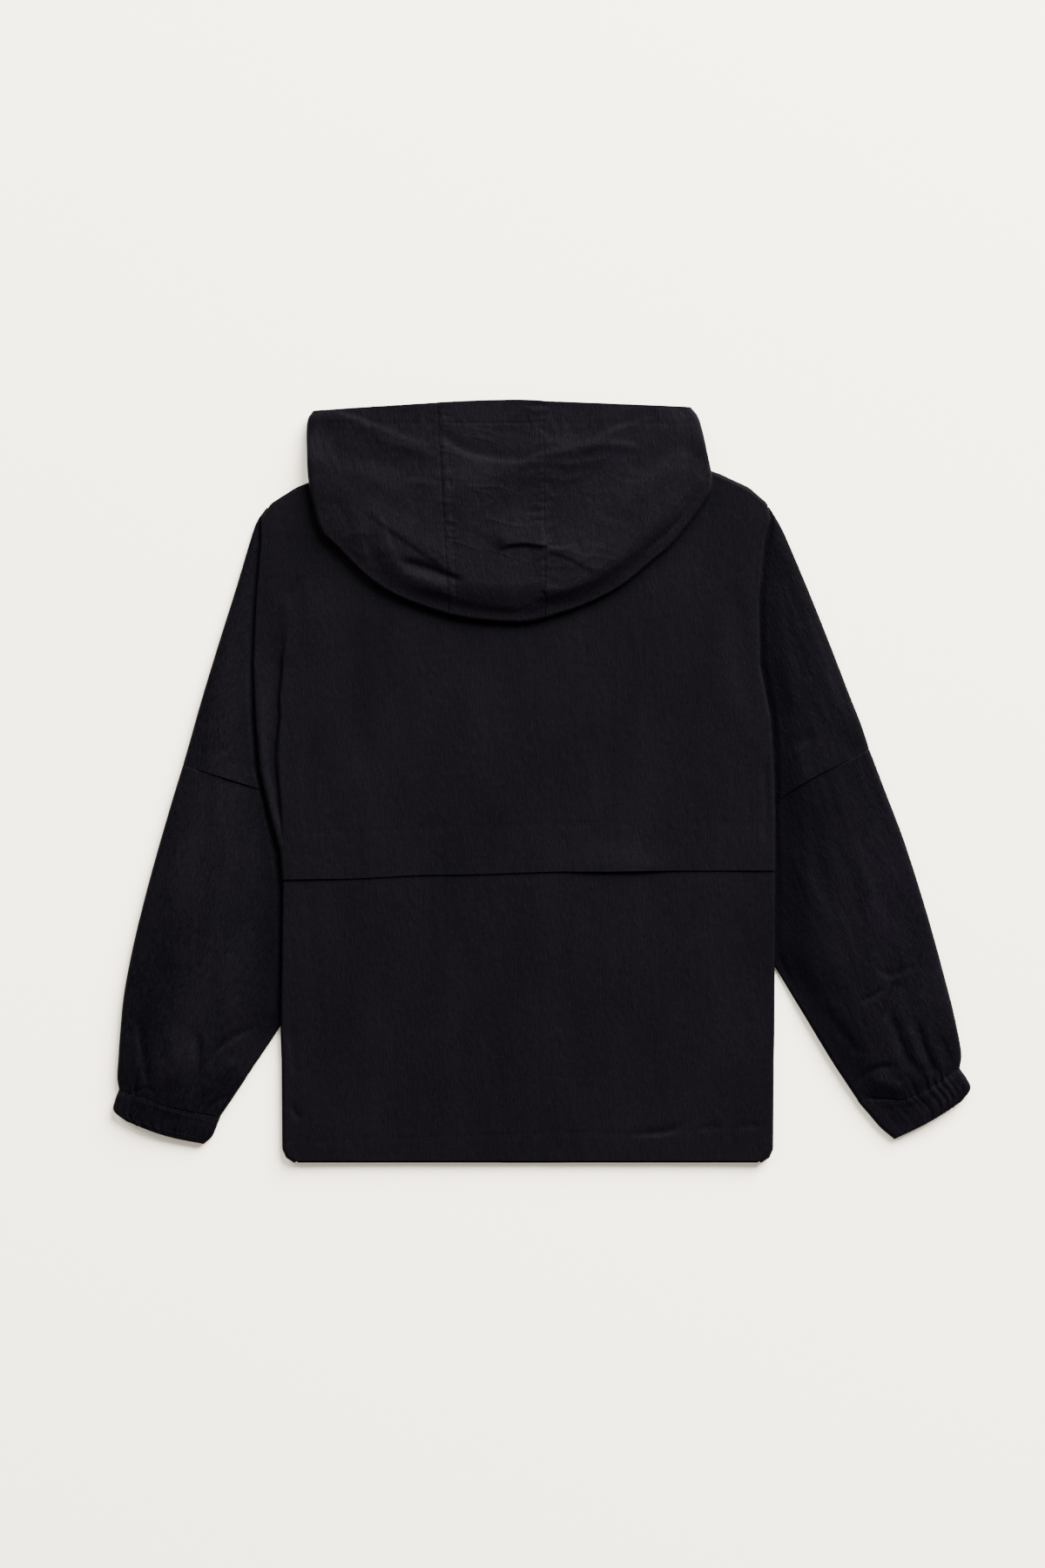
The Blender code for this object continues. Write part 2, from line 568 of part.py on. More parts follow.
def make_sleeve_end(side, material):
    rows = rows_at(LOWER_SLEEVE_ROWS[side], 12)
    sleeve = ring_sections(side, rows, top_points=10, under_points=3, folds=SLEEVE_FOLDS)
    ribs = 2 * CUFF_GATHERS - 1
    cuff = ring_sections(side, CUFF_ROWS[side], top_points=ribs, under_points=3, gathers=CUFF_GATHERS)
    if side == "left":
        sleeve = [row[::-1] for row in sleeve]
        cuff = [row[::-1] for row in cuff]
    else:
        sleeve = moved(sleeve, elbow_bow)
    wall(f"sleeve_lower_{side}", sleeve, material, round_ring=True)
    wall(f"cuff_{side}", cuff, material, round_ring=True)


def hood_under(x, y):
    """The hood's underside: on the cape, and down towards the surface past the shoulders."""
    side = "left" if x < BODY_CENTER_X else "right"
    slope = [row for row in BODY_ROWS if row.y > SHOULDER_FROM_Y]
    out = [abs(getattr(row, side) - BODY_CENTER_X) for row in slope]
    shoulder_y = np.interp(abs(x - BODY_CENTER_X), out[::-1], [row.y for row in slope][::-1])
    past = smoothstep((y - shoulder_y - HOOD_OVERHANG) / HOOD_DROOP)
    return HOOD_CLEAR + (HOOD_FLOOR - HOOD_CLEAR) * past


def hood_top(place, from_rim, rim_top, from_seam):
    """The hood's outer wall, from its rounded rim up to the height that it has there."""
    x, y = place
    up = smoothstep((y - HOOD_RIM_Y) / (HOOD_MOUTH_Y - HOOD_RIM_Y))
    full = HOOD_RIM_HIGH + (HOOD_TOP_HIGH - HOOD_RIM_HIGH) * up
    folded = folds_height(x, y, HOOD_FOLDS) * smoothstep(from_rim / FOLD_FADE)
    return rim_top + (full - rim_top) * smoothstep(from_rim / HOOD_RISE) + folded


def hood_seam_x(side, y):
    """Where a seam of the hood lies at y, on its straight line from the mouth to the rim."""
    seam = HOOD_SEAMS[side]
    return seam.rim_x + (seam.mouth_x - seam.rim_x) * (y - HOOD_FOOT_Y) / (HOOD_MOUTH_Y - HOOD_FOOT_Y)


def make_hood_side(side, material):
    away = {"left": -HOOD_SEAM_HALF, "right": HOOD_SEAM_HALF}[side]
    rows, seams = [], []
    for number, row in enumerate(rows_at(HOOD_SIDE_ROWS[side], 12)):
        seam_x = hood_seam_x(side, row.seam_y) + away
        rows.append(SpokeRow(row.rim_x, row.rim_y, seam_x, row.seam_y, row.high))
        neck_y = min(row.seam_y, NECK_SEAM_Y - NECK_SEAM_STEP * number)
        seams.append((hood_seam_x(side, neck_y) + away, neck_y))
    sections = spoke_sections(
        rows, top_of=hood_top, under_of=hood_under, top_points=8, under_points=5, under_seams=seams
    )
    wall(f"hood_{side}", sections[::-1] if side == "right" else sections, material)


def make_hood_center(material):
    rows, seams = [], []
    table = rows_at(HOOD_CENTER_ROWS, 6)
    left, right = HOOD_SEAM_HALF, -HOOD_SEAM_HALF
    for number, row in enumerate(table):
        share = number / (len(table) - 1)
        aside = left + (right - left) * share
        mouth_x, neck_x = (
            hood_seam_x("left", y) * (1.0 - share) + hood_seam_x("right", y) * share + aside
            for y in (row.seam_y, NECK_SEAM_Y)
        )
        rows.append(SpokeRow(row.rim_x + aside, row.rim_y, mouth_x, row.seam_y, row.high))
        seams.append((neck_x, NECK_SEAM_Y))
    sections = spoke_sections(
        rows, top_of=hood_top, under_of=hood_under, top_points=12, under_points=7, under_seams=seams
    )
    wall("hood_center", sections, material)


def main():
    clear_scene()
    cloth = cloth_material("Crinkle nylon", CLOTH_COLOR)
    hood_cloth = cloth_material("Crinkle nylon, hood", HOOD_COLOR)
    make_fronts(cloth)
    make_back(cloth)
    for side in ("left", "right"):
        make_upper_sleeve(side, cloth)
        make_sleeve_end(side, cloth)
    make_hood_side("left", hood_cloth)
    make_hood_side("right", hood_cloth)
    make_hood_center(hood_cloth)


main()
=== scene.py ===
"""The looks of a hooded crinkle-nylon raincoat that lies face down with its hood over its back.

Tables are in millimetres, in the frame's own axes: X across the coat, Y from the hem to the hood,
Z up. Each panel is a thin shell on its solid's form, with its creases, gathers and stitching.
"""

from collections import namedtuple
from math import copysign, cos, pi, radians, sin, sqrt

import bpy
import numpy as np
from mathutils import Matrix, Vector
from mathutils.bvhtree import BVHTree
from numpy.linalg import norm


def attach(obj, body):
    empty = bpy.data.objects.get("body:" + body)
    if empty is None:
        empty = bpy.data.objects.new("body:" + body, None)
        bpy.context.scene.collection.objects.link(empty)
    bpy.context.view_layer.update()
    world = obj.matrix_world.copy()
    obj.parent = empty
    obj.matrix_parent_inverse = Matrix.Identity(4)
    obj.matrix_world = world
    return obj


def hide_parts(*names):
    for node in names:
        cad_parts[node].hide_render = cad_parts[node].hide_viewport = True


MM = 0.001

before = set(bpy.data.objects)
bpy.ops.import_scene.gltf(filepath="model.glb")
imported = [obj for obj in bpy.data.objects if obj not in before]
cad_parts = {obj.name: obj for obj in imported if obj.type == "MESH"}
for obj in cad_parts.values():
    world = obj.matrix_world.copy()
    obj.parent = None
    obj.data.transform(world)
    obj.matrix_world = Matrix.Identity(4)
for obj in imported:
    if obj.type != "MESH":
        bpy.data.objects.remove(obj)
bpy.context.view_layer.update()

# ---- sizes shared with the solids
CLOTH, LAP, FLOOR_LAYER = 1.1, 0.4, 1.5
TUCK_HIGH, TUCK_WIDE, SLEEVE_TUCK = 3.9, 11.2, 10.3
STEP_WIDE, STEP_SHARE = 8, {"left": 0.4, "right": 0.25}
SLEEVE_RISE = {"left": 60, "right": 40}
SIDE_RETURN, SIDE_LAP, DROP_WIDE = 10, 8, 8
CAPE_HIGH, CAPE_MID = 11.6, 10.7
LOWER_HIGH, LOWER_MID = 9.9, 9
SHOULDER_DROP, DROP_FROM_Y, DROP_LONG = {"left": 3.6, "right": 0.6}, 20, 130
CAPE_EDGE_Y = -98.5
CAPE_EDGE_LINE = (
    (-282, -106.2), (-200, -104.8), (-125, -101.2), (-50, -99), (26, -96.8), (252, -96.4),
)
UNDERLAP_TOP_Y = -32
CAPE_LIFT, CAPE_LIFT_X, CAPE_LIFT_WIDE = 3, 82, 44
CENTER_X = -15.6
NECK_HALF, NECK_TOP_Y, FRONT_NECK_DEEP = 92, 366, 84
FLY_LAP, FLY_STEP, FLY_TOP_STEP = 28, 24, 5
HOOD_CLEAR, HOOD_FLOOR, HOOD_DROOP, HOOD_OVERHANG = 12, 2, 46, 18
HOOD_TOP_HIGH, HOOD_RIM_HIGH, HOOD_RISE = 19, 27, 38
HOOD_MOUTH_Y, HOOD_RIM_Y, HOOD_FOOT_Y = 410, 190, 178
NECK_SEAM_Y, NECK_SEAM_STEP = 352, 22
SEAM_HALF = 0.01
HOOD_ALLOWANCE = ((0.05, 1), (0.35, 1.4), (2.5, 1.5), (5, 1.5))  # past the seam, and below it


def table(row_type, *rows):
    """Rows with named columns."""
    return tuple(row_type(*row) for row in rows)


BodyRow = namedtuple("BodyRow", "y left right lift front_tuck", defaults=(4.2, 12.5))
BODY_ROWS = table(
    BodyRow,
    (-412.2, -268, 237, 1.5, 4),
    (-406.5, -277, 246, 1.5, 4),
    (-397, -281.3, 250.2, 1.5, 4),
    (-300, -282, 250.8, 1.5, 4),
    (-274, -283, 251.4),
    (-106, -281, 252),
    (-68, -284, 252.3),
    (-38, -292.5, 252.3),
    (13, -306, 251),
    (68, -310.5, 247.6),
    (126, -312.8, 236),
    (196, -309.8, 234.6),
    (262, -304.2, 241.2),
    (284, -304, 247.2),
    (301, -293.5, 243.5, 4, 6),
    (318.5, -266, 223.6, 1.5, 3),
    (334, -226, 190, 1.5, 3),
    (350, -170, 140, 1.5, 3),
    (NECK_TOP_Y, CENTER_X - NECK_HALF, CENTER_X + NECK_HALF, 1.5, 3),
)

# The outer edge of an upper sleeve, and how far down the armhole each station meets it
SpokeRow = namedtuple("SpokeRow", "rim_x rim_y seam_y high")
UPPER_SLEEVE_ROWS = {
    "left": table(
        SpokeRow,
        (-298, 297, 290, 2.8),
        (-308.4, 282, 272, 4.6),
        (-315.6, 261.7, 252, 6),
        (-332.5, 205, 200, 9),
        (-350.3, 148.5, 140, 10.5),
        (-367.5, 92, 84, 11.5),
        (-380.5, 46, 24, 12),
        (-388.4, 18.6, -13, 12),
    ),
    "right": table(
        SpokeRow,
        (245.6, 297.5, 290, 2.8),
        (255.4, 281.5, 273, 4.6),
        (265, 262, 254, 6),
        (289, 205, 196, 9),
        (311.6, 148.5, 140, 10.5),
        (333.4, 92, 84, 11.5),
        (345.2, 62, 26, 12),
        (353.8, 36, -28, 12),
    ),
}

RING_COLUMNS = "outer_x outer_y inner_x inner_y outer_high inner_high swell tuck bow base"
RingRow = namedtuple("RingRow", RING_COLUMNS, defaults=(0, 0, 0))
LOWER_SLEEVE_ROWS = {
    "left": table(
        RingRow,
        (-388.6, 17.6, -291.2, -14.2, 12.2, 3.9, 3, 11),
        (-400.2, -20, -281.8, -58, 11.8, 3.9, 3, 11),
        (-417, -78, -272.8, -108, 11.5, 3.9, 4, 11),
        (-431, -130, -271.4, -158, 12, 3.9, 5, 11),
        (-443, -180, -271.4, -207, 12, 3.9, 6, 11),
        (-452.2, -229, -274, -245, 12.5, 3.9, 7, 11),
        (-456, -266, -288, -272, 13, 3.9, 7, 6),
        (-458.6, -302, -314, -311, 13, 8.5, 7),
        (-459.6, -320, -331, -337, 12, 9, 6),
        (-457.8, -332, -348, -362, 11, 8.5, 4, 0, 3),
    ),
    "right": table(
        RingRow,
        (354.1, 34.8, 241.4, -29.2, 12.2, 3.9, 3, 11),
        (372, -12, 242.6, -75, 11.8, 3.9, 3, 11),
        (390, -59, 242.6, -112, 11.5, 3.9, 4, 11),
        (406, -108, 242.6, -150, 12, 3.9, 5, 11),
        (420.4, -156, 244, -184, 12, 3.9, 6, 10),
        (433, -202, 259, -212, 12.5, 3.9, 7, 6),
        (443.4, -242, 283, -252, 13, 8, 7, 0, 4),
        (450.6, -275, 312, -300, 13, 9, 7, 0, 10),
        (453.6, -295, 329, -326, 12, 9, 6, 0, 12),
        (452, -309, 341, -344, 11, 8.5, 4, 0, 13),
    ),
}
CUFF_ROWS = {
    "left": table(
        RingRow,
        (-457, -329, -345, -356, 8.6, 6, 3, 0, 3, 1.5),
        (-458, -333.4, -348.6, -364, 10.5, 8, 4, 0, 3),
        (-462, -344, -352, -373, 11, 8.5, 2, 0, 3),
        (-463.4, -356, -357, -384, 10.5, 8, 1.5, 0, 3),
        (-450, -367, -366, -391.8, 9.5, 7.5, 1, 0, 3),
    ),
    "right": table(
        RingRow,
        (450.4, -305, 339.4, -338.6, 8.6, 6, 3, 0, 13, 1.5),
        (452.6, -310.8, 342, -346, 10.5, 8, 4, 0, 13),
        (459.6, -321, 353, -359, 11, 8.5, 2, 0, 9),
        (463.4, -332.4, 366, -374, 10.5, 8, 1.5, 0, 5),
        (454, -345.5, 381, -386.5, 9.5, 7.5, 1, 0, 2),
    ),
}

HOOD_SIDE_ROWS = {
    "left": table(
        SpokeRow,
        (-248, 400.5, 409, 14),
        (-254.1, 388, 392, 15),
        (-254.1, 356, 360, 11),
        (-251.6, 321, 326, 9.5),
        (-240.5, 274, 293, 8.8),
        (-223, 254, 270, 8.5),
        (-189, 220.5, 248, 8.2),
        (-160, 201.6, 227, 7.8),
        (-128, 188.6, 208, 7.6),
        (-101.2, 179.6, 198, 7.4),
    ),
    "right": table(
        SpokeRow,
        (161, 404.5, 410.8, 14),
        (170, 391, 393, 13),
        (178.2, 356, 360, 8),
        (184, 320, 328, 9.5),
        (174.9, 300, 296, 9.5),
        (142, 258, 266, 8.5),
        (115.5, 235, 246, 8.2),
        (85, 210.4, 228, 7.8),
        (46, 190.6, 208, 7.6),
        (4.2, 176.2, 196, 7.4),
    ),
}
HOOD_CENTER_ROWS = table(
    SpokeRow,
    (-100.2, 179.4, 409.2, 7.4),
    (-79, 175.4, 410.4, 7.4),
    (-58, 173, 411.4, 7.4),
    (-38, 171.9, 412, 7.4),
    (-17.5, 172, 412.2, 7.4),
    (3.2, 175.9, 411.2, 7.4),
)
HoodSeam = namedtuple("HoodSeam", "mouth_x rim_x")
HOOD_SEAMS = {"left": HoodSeam(-113.2, -100.2), "right": HoodSeam(0.8, 3.2)}

# ---- creases
# A ridge is above 0 and a trough below it. Left and right are how wide it is on each side of its
# line, walked from first point to last, so a small one is a sharp edge and a large one a slope.
Crease = namedtuple("Crease", "high left right line")


def crease_table(*rows):
    """Each row is high, left, right, and then x and y of each point of its line."""
    return tuple(Crease(*row[:3], tuple(zip(row[3::2], row[4::2]))) for row in rows)


HOOD_CREASES = crease_table(
    (1.5, 3.2, 12, -240, 403, -200, 389, -166, 376, -140, 366, -108, 357),
    (0.8, 2.6, 7, -186, 375, -166, 366, -142, 360, -110, 351),
    (0.8, 2.4, 5, -150, 324, -143, 323, -130, 323, -112, 320),
    (-1.5, 9, 4, -126, 376, -108, 370, -84, 358, -62, 352, -36, 348, 0, 350),
    (2.8, 22, 24, -128, 288, -112, 301, -66, 322, -36, 337, 0, 350, 47, 363, 80, 378, 118, 391),
    (1, 2.4, 7, -30, 339, 0, 351, 47, 364, 80, 379, 112, 390, 128, 394),
    (1.2, 2.6, 7, 36, 356, 50, 361, 67, 365, 97, 362, 110, 357),
    (0.8, 2.4, 5, 6, 343, 37, 343, 60, 347, 76, 353),
    (0.6, 2.2, 5, 4, 330, 24, 326, 46, 332),
    (-0.9, 8, 12, 8, 380, 40, 374, 84, 384, 128, 396),
    (3.4, 26, 2.2, -50, 247, -44, 252, -34, 256, -17, 257, 0, 255, 16, 259),
    (1.5, 1.6, 18, -8, 258, 4, 254, 20, 250, 40, 256),
    (1.3, 22, 2.4, 4, 250, 27, 243, 47, 232, 62, 224),
    (2.6, 7, 40, 170, 318, 152, 296, 126, 270, 98, 248, 66, 226, 34, 210, 0, 200, -34, 196),
    (-1.6, 4, 7, 176, 318, 150, 284, 124, 260, 100, 242),
    (-3.8, 4.8, 10, -160, 236, -144, 235, -122, 229, -100, 220, -80, 214),
    (2.2, 36, 6, -150, 214, -120, 208, -92, 200, -60, 192, -30, 190, 0, 194),
    (1.4, 18, 3.2, -196, 300, -180, 286, -150, 264, -116, 240, -98, 226),
    (1.5, 4, 10, -176, 286, -167, 258, -161, 240),
    (-1.2, 9, 6, -190, 268, -184, 248, -172, 232),
    (1.1, 20, 14, -220, 340, -180, 326, -132, 296),
    (-1.1, 10, 14, -236, 362, -196, 348, -140, 334),
    (1.2, 16, 16, 156, 352, 112, 318, 74, 280),
    (-1.2, 12, 12, 172, 372, 128, 348, 92, 322),
    (-0.9, 8, 8, -230, 310, -214, 286, -204, 262),
)
CAPE_CREASES = crease_table(
    (
        -3.2, 1.8, 17, -275, 174, -278, 161, -283, 132, -283, 118, -286, 89, -285, 69, -289, 38,
        -289, 16, -286, -9, -283, -48, -280, -86,
    ),
    (0.9, 5, 1.6, -271, 166, -280, 128, -283, 86, -284, 40, -283, 0, -280, -60),
    (1.2, 8, 8, -277, 205, -277, 121),
    (1, 20, 20, -250, 220, -236, 120, -240, 20),
    (-1, 14, 14, -196, 190, -205, 90, -190, -10),
    (0.9, 22, 22, -60, 120, -72, 30, -58, -60),
    (-0.9, 16, 16, 60, 140, 72, 60, 64, -40),
    (1, 16, 16, 172, 240, 190, 150, 204, 50),
    (-1, 12, 12, 206, 220, 212, 140, 226, 60),
    (-1.2, 8.4, 4.8, 238, 30, 244, -20, 242, -70),
)
LOWER_CREASES = crease_table(
    (-1, 5.6, 3.2, -272, -262, -268, -324),
    (-1.2, 4.5, 2.6, -276, -346, -260, -368),
    (-1.4, 4.1, 2, 94, -382, 142, -377, 156, -362),
    (-0.8, 3.1, 2, 167, -374, 198, -374),
    (-0.8, 3.1, 2, 212, -372, 238, -372),
    (0.7, 19.2, 19.2, -180, -130, -196, -240, -186, -350),
    (-0.7, 12.8, 12.8, -92, -140, -84, -230, -96, -330),
    (0.7, 17.6, 17.6, 40, -130, 52, -250, 44, -340),
    (-0.8, 11.2, 11.2, 206, -120, 222, -200, 214, -300),
)
UPPER_SLEEVE_CREASES = {
    "left": crease_table(
        (-1, 9, 9, -318, 230, -330, 160, -332, 90, -326, 30),
        (0.8, 10, 12, -345, 150, -356, 90, -362, 40),
        (-0.9, 5, 9, -322, 60, -338, 38, -360, 28),
    ),
    "right": crease_table(
        (-1.9, 14, 10, 252, 262, 266, 180, 280, 100, 284, 20, 276, -10),
        (-0.8, 8, 5, 262, 30, 282, 44, 300, 50),
        (0.9, 12, 10, 286, 190, 304, 130, 320, 70, 332, 36),
    ),
}
LOWER_SLEEVE_CREASES = {
    "left": crease_table(
        (-2.2, 6, 3.4, -440, -246, -434, -280, -429, -312, -426, -334),
        (1.6, 11, 8, -404, -262, -398, -300, -402, -336),
        (-2.4, 3.6, 6.5, -373, -262, -371, -300, -376, -332, -384, -350),
        (-2.3, 5, 3.2, -378, -336, -356, -296, -332, -276, -304, -262),
        (1.2, 4, 6, -366, -340, -346, -312, -326, -300),
        (-1.7, 3, 3, -366, -356, -348, -344, -330, -338),
        (-0.9, 3.2, 3.2, -446, -338, -428, -331, -414, -340),
        (-1.2, 8.6, 6.5, -300, -140, -318, -200, -346, -250),
        (-0.9, 9, 9, -322, -40, -332, -100, -344, -160, -340, -210),
        (0.9, 14, 14, -388, -60, -392, -140, -404, -220),
    ),
    "right": crease_table(
        (-0.9, 4.6, 3.2, 358, -199, 372, -208, 384, -207, 404, -198),
        (-1.8, 5.6, 3.2, 388, -208, 378, -228, 368, -262),
        (-1, 2.6, 2.6, 341, -239, 356, -231, 372, -222),
        (-2, 4.2, 7, 376, -246, 386, -280, 398, -304, 410, -316),
        (1.4, 6, 6, 396, -262, 404, -292, 416, -314),
        (-2, 3.4, 5, 406, -258, 413, -290, 430, -322),
        (-1.5, 3.2, 3.2, 430, -272, 440, -296, 447, -311),
        (-1.5, 3.2, 5.2, 336, -330, 352, -314, 370, -307, 384, -309),
        (1.7, 7, 9, 352, -326, 372, -326, 394, -336),
        (-2.6, 3.4, 5.4, 341, -333, 356, -344, 378, -347, 400, -350),
        (-1.1, 8, 8, 290, -20, 300, -90, 322, -160),
        (0.9, 9.6, 9.6, 340, -60, 356, -140, 378, -190),
        (-1.1, 7.7, 5.8, 300, -240, 326, -276, 352, -300),
    ),
}
# The right forearm seam bows up a little past its middle, and drops at its inner end
ELBOW_OUTER, ELBOW_INNER = (354, 35), (241, -29)
ELBOW_BOW, ELBOW_DROP, ELBOW_REACH, ELBOW_SKEW = 3.6, 3, 36, 1.6

Gather = namedtuple("Gather", "share long high")
CUFF_GATHERS = {
    "left": table(
        Gather,
        (0.05, 16, -0.9),
        (0.12, 30, -1.5),
        (0.24, 12, -0.7),
        (0.36, 14, -0.8),
        (0.47, 11, -0.7),
        (0.62, 18, -1.3),
        (0.68, 13, -0.9),
        (0.80, 24, -1.5),
        (0.91, 16, -1),
    ),
    "right": table(
        Gather,
        (0.05, 18, -1.1),
        (0.11, 34, -1.5),
        (0.18, 22, -1.3),
        (0.25, 30, -1.4),
        (0.34, 14, -0.8),
        (0.46, 20, -1.5),
        (0.51, 12, -1.1),
        (0.70, 10, -0.5),
        (0.88, 12, -0.6),
    ),
}

Fineness = namedtuple("Fineness", "rows top fold under")
FINE = {
    "cape": Fineness(166, 262, 7, 6),
    "lower": Fineness(122, 210, 7, 8),
    "front": Fineness(80, 60, 0, 0),
    "upper_sleeve": Fineness(130, 70, 8, 16),
    "lower_sleeve": Fineness(170, 90, 8, 28),
    "cuff": Fineness(34, 120, 8, 60),
    "hood_side": Fineness(110, 110, 12, 40),
    "hood_center": Fineness(64, 200, 12, 60),
}
SEED = 7
CAPE_HEM_Y, CASING_Y, SEAM_BAND = -47, 387, 8.5
HEM_STITCHES = ((-281, -391), (-150, -386), (16, -381), (110, -381), (250, -373))

CLOTH_COLOR = (0.00140, 0.00115, 0.00176, 1)
CLOTH_WORN = (0.00278, 0.00228, 0.00336, 1)
HOOD_COLOR = (0.00160, 0.00127, 0.00196, 1)
HOOD_WORN = (0.00318, 0.00254, 0.00382, 1)
# A sleeve's cloth is darker next to the body with painted shade. In metres from the coat's middle,
# the painted shade starts to fade at the first and is gone at the second. The first pair paints
# none.
NO_PAINTED_SHADE, UPPER_PAINTED_SHADE = (-1, -0.9), (0.236, 0.345)
LOWER_PAINTED_SHADE = {"left": (0.245, 0.325), "right": (0.250, 0.385)}
# The sleeves' cloth color is darker than the body's with painted shade, darkest next to the body;
# their worn color is lighter with painted light, more on the left sleeve than on the right.
SLEEVE_COLOR_AND_SHADE = (0.00084, 0.00068, 0.00124, 1)
SLEEVE_WORN_AND_LIT = {"left": (0.00345, 0.00290, 0.00385, 1), "right": (0.00290, 0.00236, 0.00362, 1)}
THREAD_COLOR = (0.0013, 0.0011, 0.0016, 1)
THREAD_LIT = (0.0026, 0.0022, 0.0032, 1)
CRINKLE_DEEP, STRAND_DEEP = 0.0011, 0.0001
CRINKLE_STRENGTH = {"body": 0.72, "hood": 0.95, "sleeve": 0.75}
# The parts that streaks, slubs and crush have in the relief, and slubs and patches in the wear
STREAK_PART, SLUB_PART, CRUSH_PART = 1.5, 0.6, 0.85
SLUB_WEAR, PATCH_WEAR, WEAR_FROM, WEAR_TO = 0.6, 0.4, 0.38, 0.74
ROUGH_LEAST, ROUGH_MOST = 0.44, 0.60
SHEEN = {"Specular IOR Level": 0.013, "Sheen Weight": 0.0012, "Sheen Roughness": 0.4}

# What each panel was cut to, in metres, and how it lies
Cut = namedtuple("Cut", "wide long area held rests_on", defaults=("laid", ()))

# Rows of stitches by panel: whether they show beneath, and the line that they follow
STITCH_PITCH, STITCH_LONG, THREAD_HALF = 4.2, 2.9, 0.24
Row = namedtuple("Row", "beneath line")
STITCHES = {
    "Front.left": (Row(True, ((-37.6, -400), (-37.6, 262))), Row(True, ((-272, -391), (9, -391)))),
    "Front.right": (Row(True, ((16, -391), (242, -391))),),
    "Back.lower": (Row(False, HEM_STITCHES),),
}
CUFF_STITCHES = {
    "left": (
        ((-455, -338.5), (-404, -354.5), (-353, -368.5)),
        ((-452, -361.5), (-410, -376), (-366, -386)),
    ),
    "right": (
        ((452, -315.5), (402, -345), (347, -351)),
        ((451, -341), (418, -363), (380, -381)),
    ),
}
FLOOR_COLOR = (0.97, 0.87, 0.72, 1)


# ---- reading the tables
def ease(value):
    held = np.clip(value, 0, 1)
    return held * held * (3 - 2 * held)


def bell(distance, wide):
    return np.exp(-((distance / wide) ** 2))


def between(rows, key, at):
    """A row read at one value of its key column, straight between the two rows beside it."""
    keys = [getattr(row, key) for row in rows]
    return type(rows[0])(*(float(np.interp(at, keys, column)) for column in zip(*rows)))


def smooth_through(points, count):
    """Even steps along a row of points, on a smooth curve through them."""
    values = np.array(points, dtype=float)
    slopes = np.gradient(values, axis=0)
    places = np.linspace(0, len(values) - 1, count)
    first = np.minimum(places.astype(int), len(values) - 2)
    t = (places - first)[:, None]
    curve = (2 * t**3 - 3 * t**2 + 1) * values[first] + (t**3 - 2 * t**2 + t) * slopes[first]
    return curve + (3 * t**2 - 2 * t**3) * values[first + 1] + (t**3 - t**2) * slopes[first + 1]


def rows_at(rows, count):
    return [type(rows[0])(*row) for row in smooth_through(rows, count)]


# ---- relief: creases and crumple
NOISE_SIZE = 64
CREASE_REACH, CREASE_END = 2.4, 0.24  # how many widths it takes in, and the share that fades
Wave = namedtuple("Wave", "high wide long sway", defaults=(0,))
CRUMPLE_WAVES = table(Wave, (0.34, 17, 74, 1), (0.20, 7.5, 41, -1), (0.11, 4.2, 22))
CRUMPLE_BEND, CRINKLE_BEND = Wave(5, 60, 90), Wave(4, 21, 26)
CRINKLE_PATCH, CRINKLE_TURNS = Wave(1.6, 34, 41), (0.35, 1.3, 2.4)
CRINKLE_LONG, CRINKLE_SHARP = 3.4, 4
PUCKERS, PUCKER_HIGH = table(Wave, (1, 5.2, 14), (0.6, 2.9, 9)), 0.34
THREAD_SINK, THREAD_SINK_WIDE = 0.35, 1.3


def crease_height(x, y, creases):
    """Height that the creases add. Each is widest at its middle and fades at its ends."""
    height = np.zeros_like(x)
    for crease in creases:
        line = smooth_through(crease.line, 4 * len(crease.line))
        reach = CREASE_REACH * max(crease.left, crease.right)
        near = (x > line[:, 0].min() - reach) & (x < line[:, 0].max() + reach)
        near &= (y > line[:, 1].min() - reach) & (y < line[:, 1].max() + reach)
        if near.any():
            height[near] += one_crease(x[near], y[near], crease, line)
    return height


def measured(line):
    """A line's steps, their lengths, and how far along it each point is."""
    steps = np.diff(line, axis=0)
    runs = norm(steps, axis=1)
    return steps, runs, np.concatenate(([0], np.cumsum(runs)))


def one_crease(x, y, crease, line):
    steps, runs, before = measured(line)
    nearest = np.full(x.shape, np.inf)
    side, share = np.zeros_like(x), np.zeros_like(x)
    for number, (start, step) in enumerate(zip(line, steps)):
        reached = (x - start[0]) * step[0] + (y - start[1]) * step[1]
        along = np.clip(reached / runs[number] ** 2, 0, 1)
        dx, dy = x - start[0] - along * step[0], y - start[1] - along * step[1]
        gap = np.hypot(dx, dy)
        closer = gap < nearest
        nearest = np.where(closer, gap, nearest)
        side = np.where(closer, step[0] * dy - step[1] * dx, side)
        share = np.where(closer, (before[number] + along * runs[number]) / before[-1], share)
    wide = np.where(side > 0, crease.left, crease.right)
    ends = ease(share / CREASE_END) * ease((1 - share) / CREASE_END)
    return crease.high * ends * bell(nearest, wide)


def value_noise(x, y, seed):
    """Smooth noise between -1 and 1, about one bump to each unit."""
    values = np.random.default_rng(seed).uniform(-1, 1, (NOISE_SIZE, NOISE_SIZE))
    xi, yi = np.floor(x).astype(int), np.floor(y).astype(int)
    fx, fy = ease(x - xi), ease(y - yi)

    def row(y_at):
        here, next_one = (values[x_at % NOISE_SIZE, y_at % NOISE_SIZE] for x_at in (xi, xi + 1))
        return here * (1 - fx) + next_one * fx

    return row(yi) * (1 - fy) + row(yi + 1) * fy


def grain(x, y, turn):
    """Places read across the grain and along it."""
    return x * cos(turn) + y * sin(turn), -x * sin(turn) + y * cos(turn)


def wave_height(wave, across, along, seed):
    return wave.high * value_noise(across / wave.wide, along / wave.long, seed)


